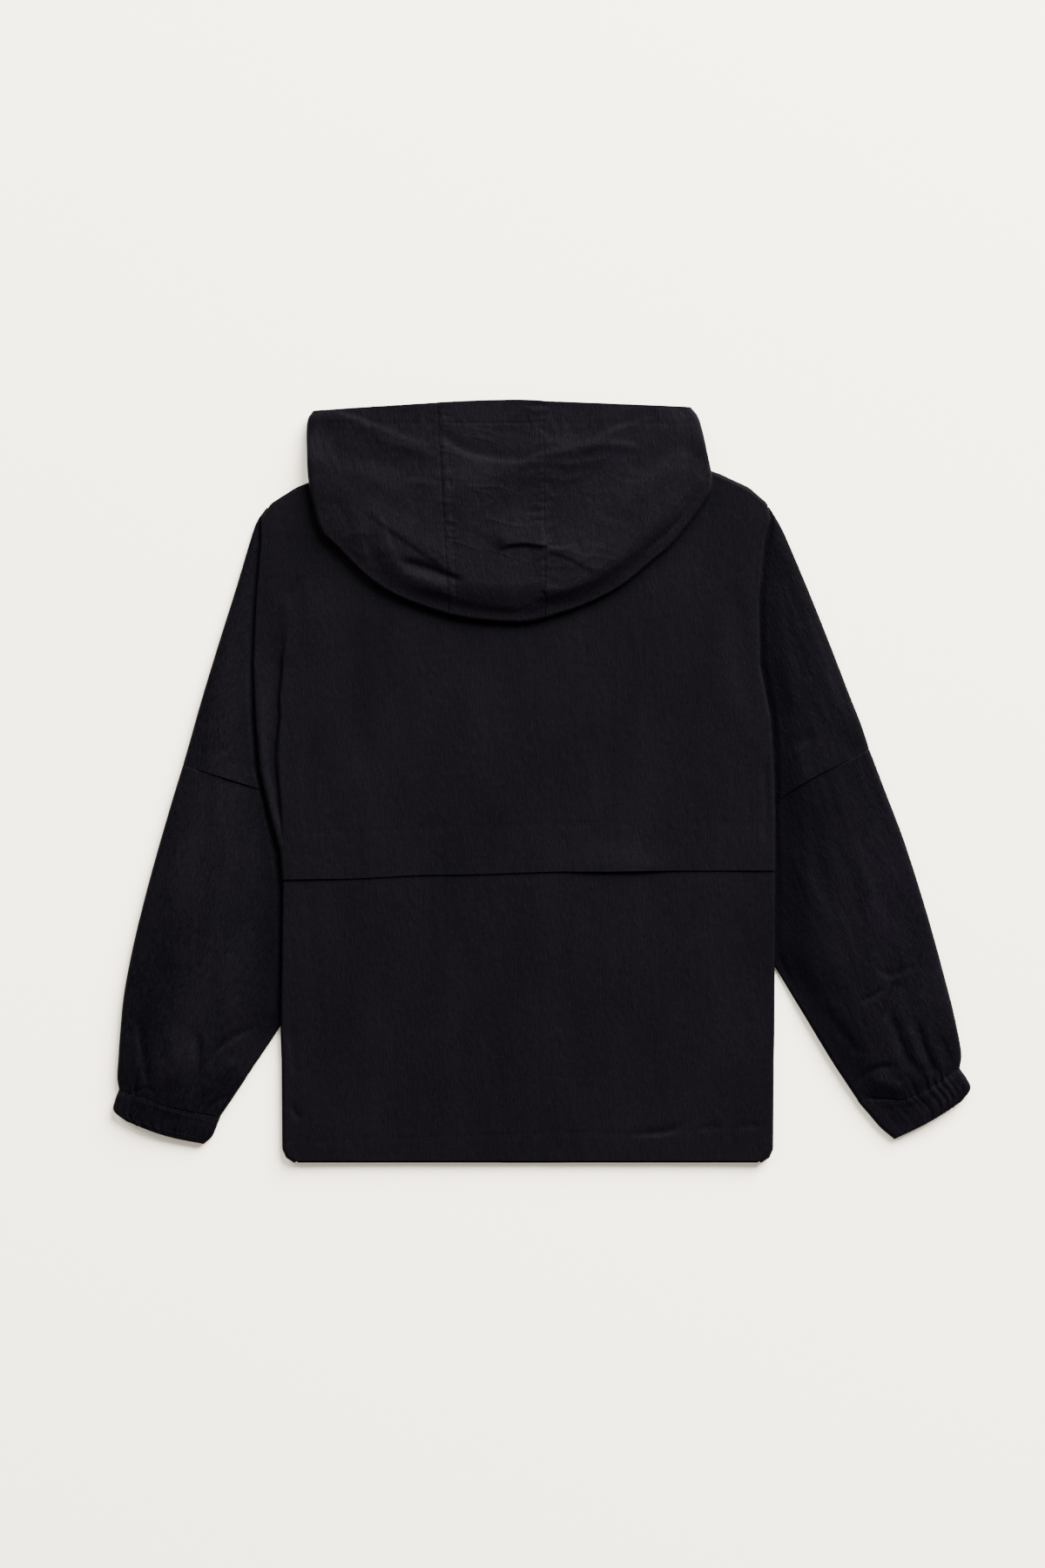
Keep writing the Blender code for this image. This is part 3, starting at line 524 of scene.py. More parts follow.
def crumple(x, y, turn=0, wide=1, deep=1, seed=0):
    """Fine creasing of the cloth, long along the grain and short across it."""
    across, along = grain(x, y, turn)
    bend = wave_height(CRUMPLE_BEND, across, along, SEED + seed)
    height = 0
    for number, wave in enumerate(CRUMPLE_WAVES, start=1):
        place = (across + wave.sway * bend) / (wave.wide * wide)
        height = height + wave.high * value_noise(place, along / wave.long, SEED + seed + number)
    return height * deep


def crinkle_height(x, y, wide, seed):
    """Sharp little creases in all directions, as in cloth that was crushed and shaken out."""
    height = np.zeros_like(x)
    for number, turn in enumerate(CRINKLE_TURNS):
        across, along = grain(x, y, turn)
        first = SEED + seed + 10 * number
        bent = across + wave_height(CRINKLE_BEND, across, along, first)
        waves = value_noise(bent / wide, along / (CRINKLE_LONG * wide), first + 1)
        patch = ease(wave_height(CRINKLE_PATCH, across, along, first + 2))
        height += np.maximum(0, 1 - CRINKLE_SHARP * abs(waves)) * patch
    return height


def seam_pucker(along, away, reach=9, seed=0):
    """Small puckers that a row of stitching draws into the cloth on both sides of it."""
    waves = sum(wave_height(wave, along, away, SEED + seed + n) for n, wave in enumerate(PUCKERS))
    return PUCKER_HIGH * waves * bell(away, reach) - THREAD_SINK * bell(away, THREAD_SINK_WIDE)


# ---- shells
MERGE = 0.000002  # metres
SMOOTH_BELOW = radians(60)


def shell(name, sections, weights, relief, material, closed=False, thickness=CLOTH):
    """A cloth panel: a grid laid through its sections, raised by its relief, thickened inwards."""
    sections = np.asarray(sections, dtype=float)
    sections[..., 2] += relief(sections[..., 0], sections[..., 1]) * np.asarray(weights)
    rows, columns = sections.shape[:2]
    bpy.ops.object.select_all(action="DESELECT")
    bpy.ops.mesh.primitive_grid_add(x_subdivisions=columns - 1, y_subdivisions=rows - 1, size=2)
    panel = bpy.context.object
    panel.name = name
    mesh = panel.data
    mesh.name = name
    flat = np.empty(len(mesh.vertices) * 3)
    mesh.vertices.foreach_get("co", flat)
    flat = flat.reshape(-1, 3)
    column = np.rint((flat[:, 0] + 1) / 2 * (columns - 1)).astype(int)
    row = np.rint((flat[:, 1] + 1) / 2 * (rows - 1)).astype(int)
    mesh.vertices.foreach_set("co", (sections[row, column] * MM).ravel())
    mesh.update()
    if closed:
        bpy.ops.object.mode_set(mode="EDIT")
        bpy.ops.mesh.select_all(action="SELECT")
        bpy.ops.mesh.remove_doubles(threshold=MERGE)
        bpy.ops.object.mode_set(mode="OBJECT")
    solidify = panel.modifiers.new("Cloth", "SOLIDIFY")
    solidify.thickness = thickness * MM
    solidify.offset = -1
    bpy.ops.object.modifier_apply(modifier=solidify.name)
    bpy.ops.object.shade_smooth_by_angle(angle=SMOOTH_BELOW)
    mesh.materials.clear()
    mesh.materials.append(material)
    node = name.lower().replace(".", "_")
    slot = "hood_cloth" if name.startswith("Hood.") else "shell_cloth"
    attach(panel, "root")
    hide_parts(node)
    panels[name] = (panel, slot)


def half_turn(edge, inward, top, bottom, steps):
    """A rounded fold from the upper wall to the under one, as points from top to bottom."""
    radius, middle = (top - bottom) / 2, (top + bottom) / 2
    angles = pi / 2 - pi * np.arange(steps + 1) / steps
    flat = np.outer(radius * (1 - np.cos(angles)), inward) + edge
    return np.column_stack((flat, middle + radius * np.sin(angles)))


def run(a, b, count, height, dense=0, ends=False):
    """A straight row of points between two places, closer together at its ends if dense."""
    shares = np.linspace(0, 1, count) if ends else np.linspace(0, 1, count + 2)[1:-1]
    shares = shares - dense * np.sin(2 * pi * shares) / (2 * pi)
    flat = np.asarray(a) + np.outer(shares, np.asarray(b) - np.asarray(a))
    return np.column_stack((flat, np.broadcast_to(height, (count,)))), shares


def stacked(built):
    """The sections and the weights of a panel's built rows, each as one array."""
    return [np.array(part) for part in zip(*built)]


def weights_from(start, fade, section):
    """A section's weights: those given from one point on, and none before and after them."""
    weights = np.zeros(len(section))
    weights[start : start + len(fade)] = fade
    return weights


def level(x, y):
    return x * 0


# ---- back
INWARD = {"left": 1, "right": -1}
SIDE_LOOK, RELIEF_FADE, DROP_STEPS, SIDE_DENSE = 4, 9, 6, 0.45
TILT_FROM_Y, TILT_RISE, TILT_TO_Y, TILT_FALL = -190, 80, 30, 70
CAPE_LIFT_LONG, CAPE_DEEPEST, CAPE_TOP_Y = 40, -3.4, 361
FLUTTER, FLUTTER_WIDE, FLUTTER_LONG = 0.5, 38, 26
WAVER, WAVER_WIDE, WAVER_LONG = 0.8, 70, 12
LOWER_DEEPEST, LOWER_HIGHEST, COVERED_BY, COVERED_FADE = -2, 1.4, 3, 16
LOWER_TO_Y, UNDERLAP_FROM_Y, UNDERLAP_ROWS, NEST_ROOM = -102.5, -100, 14, 0.1
FABRIC_DEEP, HEM_PUCKER = 0.7, 0.8


def body_inward(y, side):
    """The body's side line at y, and the direction square to it, inwards."""
    places = (y - SIDE_LOOK, y, y + SIDE_LOOK)
    low, here, high = (getattr(between(BODY_ROWS, "y", at), side) for at in places)
    inward = np.array((2 * SIDE_LOOK, low - high)) * INWARD[side]
    return np.array((here, y)), inward / norm(inward)


def body_section(y, side_high, mid_high, fine, inset=0, lift=None, drops=False):
    """Across the back: its upper wall, side folds, and the cloth that they turn under."""
    low = between(BODY_ROWS, "y", y).lift if lift is None else lift
    falls = ease((y - DROP_FROM_Y) / DROP_LONG)
    side_highs = {side: side_high - SHOULDER_DROP[side] * falls for side in SHOULDER_DROP}
    half = {}
    for side in ("left", "right"):
        edge, inward = body_inward(y, side)
        edge = edge + inward * inset
        fold = half_turn(edge, inward, side_highs[side], low, fine.fold)
        turned = edge + inward * (SIDE_RETURN + inset)
        under = [run(fold[-1][:2], turned, fine.under // 2, low)[0], [(*turned, low)]]
        if drops:
            stepped = turned + inward * DROP_WIDE
            shares = np.linspace(0, 1, DROP_STEPS)[1:]
            drop = turned + np.outer(shares, stepped - turned)
            under.append(np.column_stack((drop, low + (FLOOR_LAYER - low) * ease(shares))))
            under.append([(*(stepped + inward * SIDE_LAP), FLOOR_LAYER)])
        half[side] = np.vstack([fold] + under)
    top, shares = run(half["left"][0][:2], half["right"][0][:2], fine.top, 0, dense=SIDE_DENSE)
    side_at = np.where(shares < 0.5, side_highs["left"], side_highs["right"])
    top[:, 2] = mid_high + (side_at - mid_high) * (2 * shares - 1) ** 4
    section = np.vstack((half["left"][::-1], top, half["right"]))
    wide = norm(half["right"][0][:2] - half["left"][0][:2])
    fade = ease(shares * wide / RELIEF_FADE) * ease((1 - shares) * wide / RELIEF_FADE)
    return section, weights_from(len(half["left"]), fade, section)


def tilt_edge(sections):
    """The cape's free edge drops a little to the left, and both panels follow it there."""
    x, y = sections[..., 0], sections[..., 1]
    near = ease((y - TILT_FROM_Y) / TILT_RISE) * ease((TILT_TO_Y - y) / TILT_FALL)
    sections[..., 1] += (np.interp(x, *zip(*CAPE_EDGE_LINE)) - CAPE_EDGE_Y) * near


def cape_relief(x, y):
    """Creases, crumple, the free edge's lift, and the stitching of its hem."""
    height = crease_height(x, y, CAPE_CREASES) + crumple(x, y, deep=FABRIC_DEEP)
    free = ease(1 - (y - CAPE_EDGE_Y) / CAPE_LIFT_LONG)
    height += CAPE_LIFT * free * bell(x - CAPE_LIFT_X, CAPE_LIFT_WIDE)
    near = ease(1 - (y - CAPE_EDGE_Y) / FLUTTER_LONG)
    height += FLUTTER * value_noise(x / FLUTTER_WIDE, x * 0, SEED + 61) * near
    return np.maximum(height, CAPE_DEEPEST) + HEM_PUCKER * seam_pucker(x, y - hem_line(x), seed=62)


def lower_relief(x, y):
    """Creases, crumple and the hem's stitching, fading out where the cape covers the panel."""
    hem = np.interp(x, *zip(*HEM_STITCHES))
    height = crease_height(x, y, LOWER_CREASES) + crumple(x, y, deep=FABRIC_DEEP, seed=11)
    height += HEM_PUCKER * seam_pucker(x, y - hem, seed=64)
    shown = ease((CAPE_EDGE_Y - COVERED_BY - y) / COVERED_FADE)
    return np.clip(height, LOWER_DEEPEST, LOWER_HIGHEST) * shown


def build_back(material):
    fine = FINE["cape"]
    places = np.linspace(CAPE_EDGE_Y, CAPE_TOP_Y, fine.rows)
    sections, weights = stacked(body_section(y, CAPE_HIGH, CAPE_MID, fine) for y in places)
    x = sections[..., 0]
    hang = ease(1 - (sections[..., 1] - CAPE_EDGE_Y) / WAVER_LONG)
    sections[..., 1] += hang * WAVER * value_noise(x / WAVER_WIDE, x * 0, SEED + 31)
    tilt_edge(sections)
    shell("Back.cape", sections, weights, cape_relief, material)

    fine = FINE["lower"]
    places = np.linspace(BODY_ROWS[0].y, LOWER_TO_Y, fine.rows - UNDERLAP_ROWS)
    built = [body_section(y, LOWER_HIGH, LOWER_MID, fine, drops=True) for y in places]
    nest = CLOTH + NEST_ROOM + LAP
    highs = (LOWER_HIGH - NEST_ROOM, LOWER_MID - NEST_ROOM)
    for y in np.linspace(UNDERLAP_FROM_Y, UNDERLAP_TOP_Y, UNDERLAP_ROWS):
        low = between(BODY_ROWS, "y", y).lift + nest
        built.append(body_section(y, *highs, fine, inset=nest, lift=low, drops=True))
    sections, weights = stacked(built)
    tilt_edge(sections)
    shell("Back.lower", sections, weights, lower_relief, material)


# ---- fronts
FRONT_CLOTH, FRONT_TOP_Y, FLY_SLOPE = 1.2, 350, 0.85


def build_fronts(material):
    fine = FINE["front"]
    for side, lapped in (("left", 0), ("right", FLOOR_LAYER)):
        sign = INWARD[side]
        neck_y = NECK_TOP_Y - FRONT_NECK_DEEP - (FLY_TOP_STEP if side == "left" else 0)
        below = np.linspace(BODY_ROWS[0].y, neck_y, fine.rows)
        sections = []
        for y in np.concatenate((below, np.linspace(neck_y, FRONT_TOP_Y, fine.rows // 2)[1:])):
            row = between(BODY_ROWS, "y", y)
            outer = getattr(row, side) + sign * row.front_tuck
            inner = CENTER_X + sign * FLY_LAP
            if y > neck_y:
                round_up = sqrt(max(0, 1 - ((NECK_TOP_Y - y) / FRONT_NECK_DEEP) ** 2))
                inner = CENTER_X - sign * NECK_HALF * round_up
            xs = np.linspace(outer, inner, fine.top)
            step_x = CENTER_X - sign * (FLY_LAP + FLY_STEP)
            up = ease((xs - step_x) * sign / (FLY_STEP * FLY_SLOPE)) * lapped
            sections.append(np.column_stack((xs, np.full_like(xs, y), FRONT_CLOTH + up)))
        sections = np.array(sections)
        if side == "right":
            sections = sections[:, ::-1]
        shell(f"Front.{side}", sections, 0, level, material, thickness=FRONT_CLOTH)


# ---- sleeves
SLEEVE_TURN = {"left": radians(-16), "right": radians(19)}
SLEEVE_CROWN, RIM_FADE = 2, 12
SLEEVE_LEAST, RING_FADE = 8, 9
GATHER_WIDE, GATHER_SPREAD, GATHER_LIP, GATHER_LIP_AT = 0.020, 0.012, 0.45, 2.1
# The rows of a lower sleeve that run up inside the upper one, narrower and flatter than the next
TUCKED_ROWS, TUCKED_NARROW, TUCKED_UP = 6, 0.968, 1.5
TUCKED_SPLIT, TUCKED_TOP, TUCKED_UNDER = 5, 0.78, 0.16
CUFF_GATHERED, CUFF_FROM_SEAM = 0.62, 3


def spoke_section(rim, seam, low_seam, high, top_of, under_of, fine, allowance=()):
    """A panel folded at its rim: upper wall, half turn and under wall, and the relief's weight."""
    inward = (seam - rim) / norm(seam - rim)
    bottom = float(under_of(rim[0], rim[1]))
    fold = half_turn(rim, inward, bottom + high, bottom, fine.fold)
    upper, _ = run(fold[0][:2], seam, fine.top + 1, 0, ends=True)
    from_rim, from_seam = (norm(upper[:, :2] - end, axis=1) for end in (upper[0, :2], seam))
    upper[:, 2], fade = top_of(upper[:, 1], from_rim, fold[0][2], from_seam)
    if allowance:
        beyond, drops = (np.array(column) for column in zip(*allowance))
        places = seam + np.outer(beyond, inward)
        highs, _ = top_of(places[:, 1], from_rim[-1] + beyond, fold[0][2], 0)
        upper = np.vstack((upper, np.column_stack((places, highs - drops))))
        fade = np.concatenate((fade, np.ones(len(beyond))))
    under, _ = run(fold[-1][:2], low_seam, fine.under + 1, 0, ends=True)
    under[:, 2] = under_of(under[:, 0], under[:, 1])
    section = np.vstack((upper[:0:-1], fold, under[1:]))
    return section, weights_from(0, fade[:0:-1], section)


def elbow_bow(sections):
    """The right forearm seam's bow, which both panels that meet there follow."""
    outer, inner = np.array(ELBOW_OUTER), np.array(ELBOW_INNER)
    way = (inner - outer) / norm(inner - outer)
    up = np.array((way[1], -way[0]))
    near = bell((sections[..., :2] - outer) @ up, ELBOW_REACH)
    share = np.clip((outer[0] - sections[..., 0]) / (outer[0] - inner[0]), 0, 1)
    bow = ELBOW_BOW * np.sin(pi * share**ELBOW_SKEW) - ELBOW_DROP * share**3
    sections[..., :2] += (bow * near)[..., None] * up


def sleeve_free(side, out, room):
    """A sleeve's swelling at a distance out from the body: quickly at first, then slowly."""
    step = STEP_SHARE[side] * ease(room / SLEEVE_RISE[side])
    slowly = ease(out / np.minimum(SLEEVE_RISE[side], room))
    return step * ease(out / STEP_WIDE) + (1 - step) * slowly


def sleeve_relief(side, creases, deep, seed):
    def relief(x, y):
        return crease_height(x, y, creases) + crumple(x, y, SLEEVE_TURN[side], deep=deep, seed=seed)

    return relief


def build_upper_sleeve(side, material):
    fine = FINE["upper_sleeve"]
    relief = sleeve_relief(side, UPPER_SLEEVE_CREASES[side], deep=1.3, seed=21)
    built = []
    for row in rows_at(UPPER_SLEEVE_ROWS[side], fine.rows):
        edge, inward = body_inward(row.seam_y, side)
        seam = np.array((edge[0] + copysign(SLEEVE_TUCK, inward[0]), row.seam_y))
        rim = np.array((row.rim_x, row.rim_y))
        tuck = TUCK_WIDE * norm(seam - rim) / abs(np.dot(seam - rim, inward))

        def top_of(y, from_rim, rim_top, from_seam, tuck=tuck):
            free = sleeve_free(side, from_seam - tuck, np.maximum(from_rim + from_seam - tuck, 1))
            crown = SLEEVE_CROWN * np.sin(pi * from_rim / (from_rim + from_seam))
            high = TUCK_HIGH + (rim_top + crown - TUCK_HIGH) * free
            return high, free * ease(from_rim / RIM_FADE)

        built.append(spoke_section(rim, seam, seam, row.high, top_of, level, fine))
    sections, weights = stacked(built)
    if side == "right":
        sections, weights = sections[:, ::-1], weights[:, ::-1]
        elbow_bow(sections)
    shell(f"Sleeve.upper.{side}", sections, weights, relief, material)


def ring_section(side, row, before, after, fine, gathers):
    """A flattened tube's cross-section, from its outer fold over the top to its inner fold."""
    outer, inner = np.array((row.outer_x, row.outer_y)), np.array((row.inner_x, row.inner_y))
    across = (inner - outer) / norm(inner - outer)
    down = np.array((after.outer_x + after.inner_x, after.outer_y + after.inner_y))
    down = down - np.array((before.outer_x + before.inner_x, before.outer_y + before.inner_y))
    down = down - across * np.dot(down, across)
    down /= norm(down)
    outer_fold = half_turn(outer, across, row.outer_high, row.base, fine.fold)
    inner_fold = half_turn(inner, -across, row.inner_high, row.base, fine.fold)
    top, shares = run(outer_fold[0][:2], inner_fold[0][:2], fine.top, 0)
    top[:, :2] += np.outer(row.bow * np.sin(pi * shares), down)
    straight = row.outer_high + (row.inner_high - row.outer_high) * shares
    full = np.maximum(straight, SLEEVE_LEAST - row.base) + row.swell * np.sin(pi * shares)
    from_inner = norm(top[:, :2] - inner, axis=1)
    free = sleeve_free(side, from_inner - row.tuck, norm(top[-1, :2] - top[0, :2]) - row.tuck)
    fade = free * ease(shares * RING_FADE)
    top[:, 2] = row.inner_high + (full - row.inner_high) * free + gathers(shares) * fade
    under, shares = run(outer_fold[-1][:2], inner_fold[-1][:2], fine.under, row.base)
    under[:, :2] += np.outer(row.bow * np.sin(pi * shares), down)
    section = np.vstack((outer_fold[::-1], top, inner_fold, under[::-1], outer_fold[-1:]))
    return section, weights_from(len(outer_fold), fade, section)


def gather_height(side, shares, to_seam):
    """Gathers that fan from an elastic seam: deepest at it, each dying away at its own length."""
    height = np.zeros_like(shares)
    for gather in CUFF_GATHERS[side]:
        wide = GATHER_WIDE + GATHER_SPREAD * to_seam / gather.long
        fade = gather.high * bell(to_seam, gather.long)
        height += fade * bell(shares - gather.share, wide)
        beyond = shares - gather.share - GATHER_LIP_AT * wide
        height -= GATHER_LIP * fade * bell(beyond, wide)
    return height


def tube(side, rows, fine, gathers_of):
    """The cross-sections of a tube through its rows, with their relief's weights."""
    built = []
    for number, row in enumerate(rows):
        before, after = rows[max(0, number - 1)], rows[min(len(rows) - 1, number + 1)]
        built.append(ring_section(side, row, before, after, fine, gathers_of(row)))
    return stacked(built)


def middle_of(row):
    return np.array(((row.outer_x + row.inner_x) / 2, (row.outer_y + row.inner_y) / 2))


def build_lower_sleeve(side, material):
    fine = FINE["lower_sleeve"]
    rows = rows_at(LOWER_SLEEVE_ROWS[side], fine.rows)
    last = middle_of(rows[-1])

    def gathers_of(row):
        to_seam = float(norm(middle_of(row) - last))
        return lambda shares: gather_height(side, shares, to_seam)

    relief = sleeve_relief(side, LOWER_SLEEVE_CREASES[side], deep=1.6, seed=33)
    sections, weights = tube(side, rows, fine, gathers_of)
    up = sections[0, :, :2].mean(axis=0) - sections[TUCKED_ROWS, :, :2].mean(axis=0)
    up /= norm(up)
    tucked = np.repeat(sections[:1], TUCKED_ROWS, axis=0)
    for number, part in enumerate(tucked):
        part[:, :2] += up * (TUCKED_ROWS + 1 - number)
        middle = part[:, :2].mean(axis=0)
        part[:, :2] = middle + (part[:, :2] - middle) * TUCKED_NARROW
        flatter = np.where(part[:, 2] > TUCKED_SPLIT, TUCKED_TOP, TUCKED_UNDER)
        part[:, 2] = TUCKED_UP + part[:, 2] * flatter
    sections = np.concatenate((tucked, sections))
    weights = np.concatenate((np.repeat(weights[:1] * 0, TUCKED_ROWS, axis=0), weights))
    if side == "left":
        sections, weights = sections[:, ::-1], weights[:, ::-1]
    else:
        elbow_bow(sections)
    shell(f"Sleeve.lower.{side}", sections, weights, relief, material, closed=True)


def build_cuff(side, material):
    def gathers_of(row):
        return lambda shares: CUFF_GATHERED * gather_height(side, shares, CUFF_FROM_SEAM)

    relief = sleeve_relief(side, (), deep=0.8, seed=41)
    rows = rows_at(CUFF_ROWS[side], FINE["cuff"].rows)
    sections, weights = tube(side, rows, FINE["cuff"], gathers_of)
    if side == "left":
        sections, weights = sections[:, ::-1], weights[:, ::-1]
    shell(f"Cuff.{side}", sections, weights, relief, material, closed=True)


# ---- hood
SHOULDER_FROM_Y = 300
HOOD_CRINKLE, HOOD_CRINKLE_WIDE, HOOD_CRUMPLE_WIDE = 0.36, 11, 1.3
# The seams' allowances show as low bands: one to the right of the left seam, one about the right
BAND_HIGH, RIGHT_BAND_HIGH, RIGHT_BAND = 0.45, 0.35, SEAM_BAND * 0.6
BAND_EDGE, SEAM_EDGE = 1.2, 0.6
SEAM_PUCKER, SEAM_PUCKER_REACH, BAND_PUCKER_REACH = 1.3, 13, 5


def hood_under(x, y):
    """The hood's underside: on the cape, and down towards the surface past the shoulders."""
    slope = [row for row in BODY_ROWS if row.y > SHOULDER_FROM_Y][::-1]
    heights = [row.y for row in slope]
    left_y = np.interp(CENTER_X - x, [CENTER_X - row.left for row in slope], heights)
    right_y = np.interp(x - CENTER_X, [row.right - CENTER_X for row in slope], heights)
    shoulder_y = np.where(x < CENTER_X, left_y, right_y)
    past = ease((y - shoulder_y - HOOD_OVERHANG) / HOOD_DROOP)
    return HOOD_CLEAR + (HOOD_FLOOR - HOOD_CLEAR) * past


def hood_top(y, from_rim, rim_top, from_seam):
    """The hood's outer wall, from its rounded rim up to the height that it has there."""
    up = ease((y - HOOD_RIM_Y) / (HOOD_MOUTH_Y - HOOD_RIM_Y))
    full = HOOD_RIM_HIGH + (HOOD_TOP_HIGH - HOOD_RIM_HIGH) * up
    return rim_top + (full - rim_top) * ease(from_rim / HOOD_RISE), ease(from_rim / RIM_FADE)


def hood_seam_x(side, y):
    seam = HOOD_SEAMS[side]
    up, full = y - HOOD_FOOT_Y, HOOD_MOUTH_Y - HOOD_FOOT_Y
    return seam.rim_x + (seam.mouth_x - seam.rim_x) * up / full


def hood_relief(x, y):
    """Creases and crumple, with the seams' ridges and puckers and the casing's row of stitches."""
    height = crease_height(x, y, HOOD_CREASES)
    height = height + crumple(x, y, wide=HOOD_CRUMPLE_WIDE, seed=51)
    height += HOOD_CRINKLE * crinkle_height(x, y, HOOD_CRINKLE_WIDE, seed=81)
    left, right = x - hood_seam_x("left", y), x - hood_seam_x("right", y)
    height += BAND_HIGH * ease(left / SEAM_EDGE) * ease((SEAM_BAND - left) / BAND_EDGE)
    height += RIGHT_BAND_HIGH * ease((RIGHT_BAND - abs(right)) / BAND_EDGE)
    at_band = seam_pucker(y, left - SEAM_BAND, BAND_PUCKER_REACH, seed=73)
    height += seam_pucker(y, left, seed=71) + at_band
    height += SEAM_PUCKER * seam_pucker(y, right, SEAM_PUCKER_REACH, seed=75)
    return height + seam_pucker(x, y - CASING_Y, seed=77)


def build_hood(material):
    fine = FINE["hood_side"]
    for side, away in (("left", -SEAM_HALF), ("right", SEAM_HALF)):
        built = []
        for number, row in enumerate(rows_at(HOOD_SIDE_ROWS[side], fine.rows)):
            rim = np.array((row.rim_x, row.rim_y))
            seam = np.array((hood_seam_x(side, row.seam_y) + away, row.seam_y))
            neck_y = min(row.seam_y, NECK_SEAM_Y - NECK_SEAM_STEP * number / fine.rows)
            low_seam = np.array((hood_seam_x(side, neck_y) + away, neck_y))
            ends = (rim, seam, low_seam, row.high)
            built.append(spoke_section(*ends, hood_top, hood_under, fine, HOOD_ALLOWANCE))
        sections, weights = stacked(built)
        if side == "right":
            sections, weights = sections[::-1], weights[::-1]
        shell(f"Hood.{side}", sections, weights, hood_relief, material)
    fine = FINE["hood_center"]
    built = []
    for number, row in enumerate(rows_at(HOOD_CENTER_ROWS, fine.rows)):
        share = number / (fine.rows - 1)
        aside = SEAM_HALF * (1 - 2 * share)
        mouth_x, neck_x = (
            hood_seam_x("left", y) * (1 - share) + hood_seam_x("right", y) * share + aside
            for y in (row.seam_y, NECK_SEAM_Y)
        )
        rim = np.array((row.rim_x + aside, row.rim_y))
        seam, low_seam = np.array((mouth_x, row.seam_y)), np.array((neck_x, NECK_SEAM_Y))
        built.append(spoke_section(rim, seam, low_seam, row.high, hood_top, hood_under, fine))
    sections, weights = stacked(built)
    shell("Hood.center", sections, weights, hood_relief, material)


# ---- stitches
SEAM_STITCHES_Y, CAPE_STITCHES_X, CAPE_STITCHES = (184, 405), (-277, 248), 12
CASING_X, SEAM_CLEAR = (-250, 168), 1
THREAD_TAPER, RAY_FROM = (0.45, 1, 0.45), 0.09


def even_places(line, pitch):
    """Places at even steps along a line, with the direction that it runs in there."""
    line = np.array(line, dtype=float)
    steps, runs, before = measured(line)
    at = np.arange(pitch / 2, before[-1] - pitch / 2, pitch)
    part = np.clip(np.searchsorted(before, at, side="right") - 1, 0, len(runs) - 1)
    along = (at - before[part]) / runs[part]
    return line[part] + steps[part] * along[:, None], steps[part] / runs[part][:, None]


def hem_line(x):
    """The row that holds the cape's hem, as far above its free edge all along."""
    return CAPE_HEM_Y + np.interp(x, *zip(*CAPE_EDGE_LINE)) - CAPE_EDGE_Y


def seam_line(side, away):
    return [(hood_seam_x(side, y) + away, y) for y in SEAM_STITCHES_Y]


def casing(x_from, x_to):
    return Row(False, ((x_from, CASING_Y), (x_to, CASING_Y)))


def all_stitches():
    """The table's rows, with those that follow the cape's edge and the hood's seams."""
    left_x, right_x = (hood_seam_x(side, CASING_Y) for side in ("left", "right"))
    made = dict(STITCHES)
    for side, lines in CUFF_STITCHES.items():
        made[f"Cuff.{side}"] = [Row(beneath, line) for line in lines for beneath in (False, True)]
    xs = np.linspace(*CAPE_STITCHES_X, CAPE_STITCHES)
    made["Back.cape"] = (Row(False, [(x, float(hem_line(x))) for x in xs]),)
    made["Hood.left"] = (casing(CASING_X[0], left_x - SEAM_CLEAR),)
    made["Hood.center"] = (
        casing(left_x + SEAM_CLEAR, right_x - SEAM_CLEAR),
        Row(False, seam_line("left", SEAM_BAND)),
        Row(False, seam_line("right", -RIGHT_BAND)),
    )
    right_row = Row(False, seam_line("right", RIGHT_BAND))
    made["Hood.right"] = (casing(right_x + SEAM_CLEAR, CASING_X[1]), right_row)
    return made


def add_object(name, data):
    made = bpy.data.objects.new(name, data)
    bpy.context.scene.collection.objects.link(made)
    return made


def stitch_rows(name, panel, rows, material):
    """Rows of single stitches laid on a shell, joined into one piece."""
    surface = BVHTree.FromObject(panel, bpy.context.evaluated_depsgraph_get())
    points, faces = [], []
    for row in rows:
        way = 1 if row.beneath else -1
        for place, run_to in zip(*even_places(row.line, STITCH_PITCH)):
            ends = [place - run_to * STITCH_LONG / 2, place, place + run_to * STITCH_LONG / 2]
            starts = [(x * MM, y * MM, -way * RAY_FROM) for x, y in ends]
            hits = [surface.ray_cast(start, (0, 0, way))[:2] for start in starts]
            if any(hit[0] is None for hit in hits):
                continue
            start = len(points)
            for (hit, normal), thick in zip(hits, THREAD_TAPER):
                across = Vector((-run_to[1], run_to[0], 0)) * THREAD_HALF * thick * MM
                up = normal * THREAD_HALF * MM
                points += [hit + across, hit + up * thick, hit - across, hit - up]
            for ring in (start, start + 4):
                for a in range(4):
                    b = (a + 1) % 4
                    faces.append((ring + a, ring + b, ring + b + 4, ring + a + 4))
            faces += [range(start + 3, start - 1, -1), range(start + 8, start + 12)]
    mesh = bpy.data.meshes.new(name)
    mesh.from_pydata([tuple(point) for point in points], [], faces)
    mesh.materials.append(material)
    piece = add_object(name, mesh)
    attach(piece, "root")
    return piece


# ---- materials
def wire(tree, node, inputs):
    """Sets a node's inputs to constants, or links them where the value is another node's output."""
    for name, value in inputs.items():
        if isinstance(value, bpy.types.NodeSocket):
            tree.links.new(value, node.inputs[name])
        else:
            node.inputs[name].default_value = value
    return node


def add_node(tree, kind, inputs):
    return wire(tree, tree.nodes.new(kind), inputs)


def blend(tree, share, dark, light):
    """Two colors mixed; in the node, sockets 6 and 7 are its first and second color."""
    color = tree.nodes.new("ShaderNodeMix")
    color.data_type = "RGBA"
    return wire(tree, color, {"Factor": share, 6: dark, 7: light}).outputs[2]


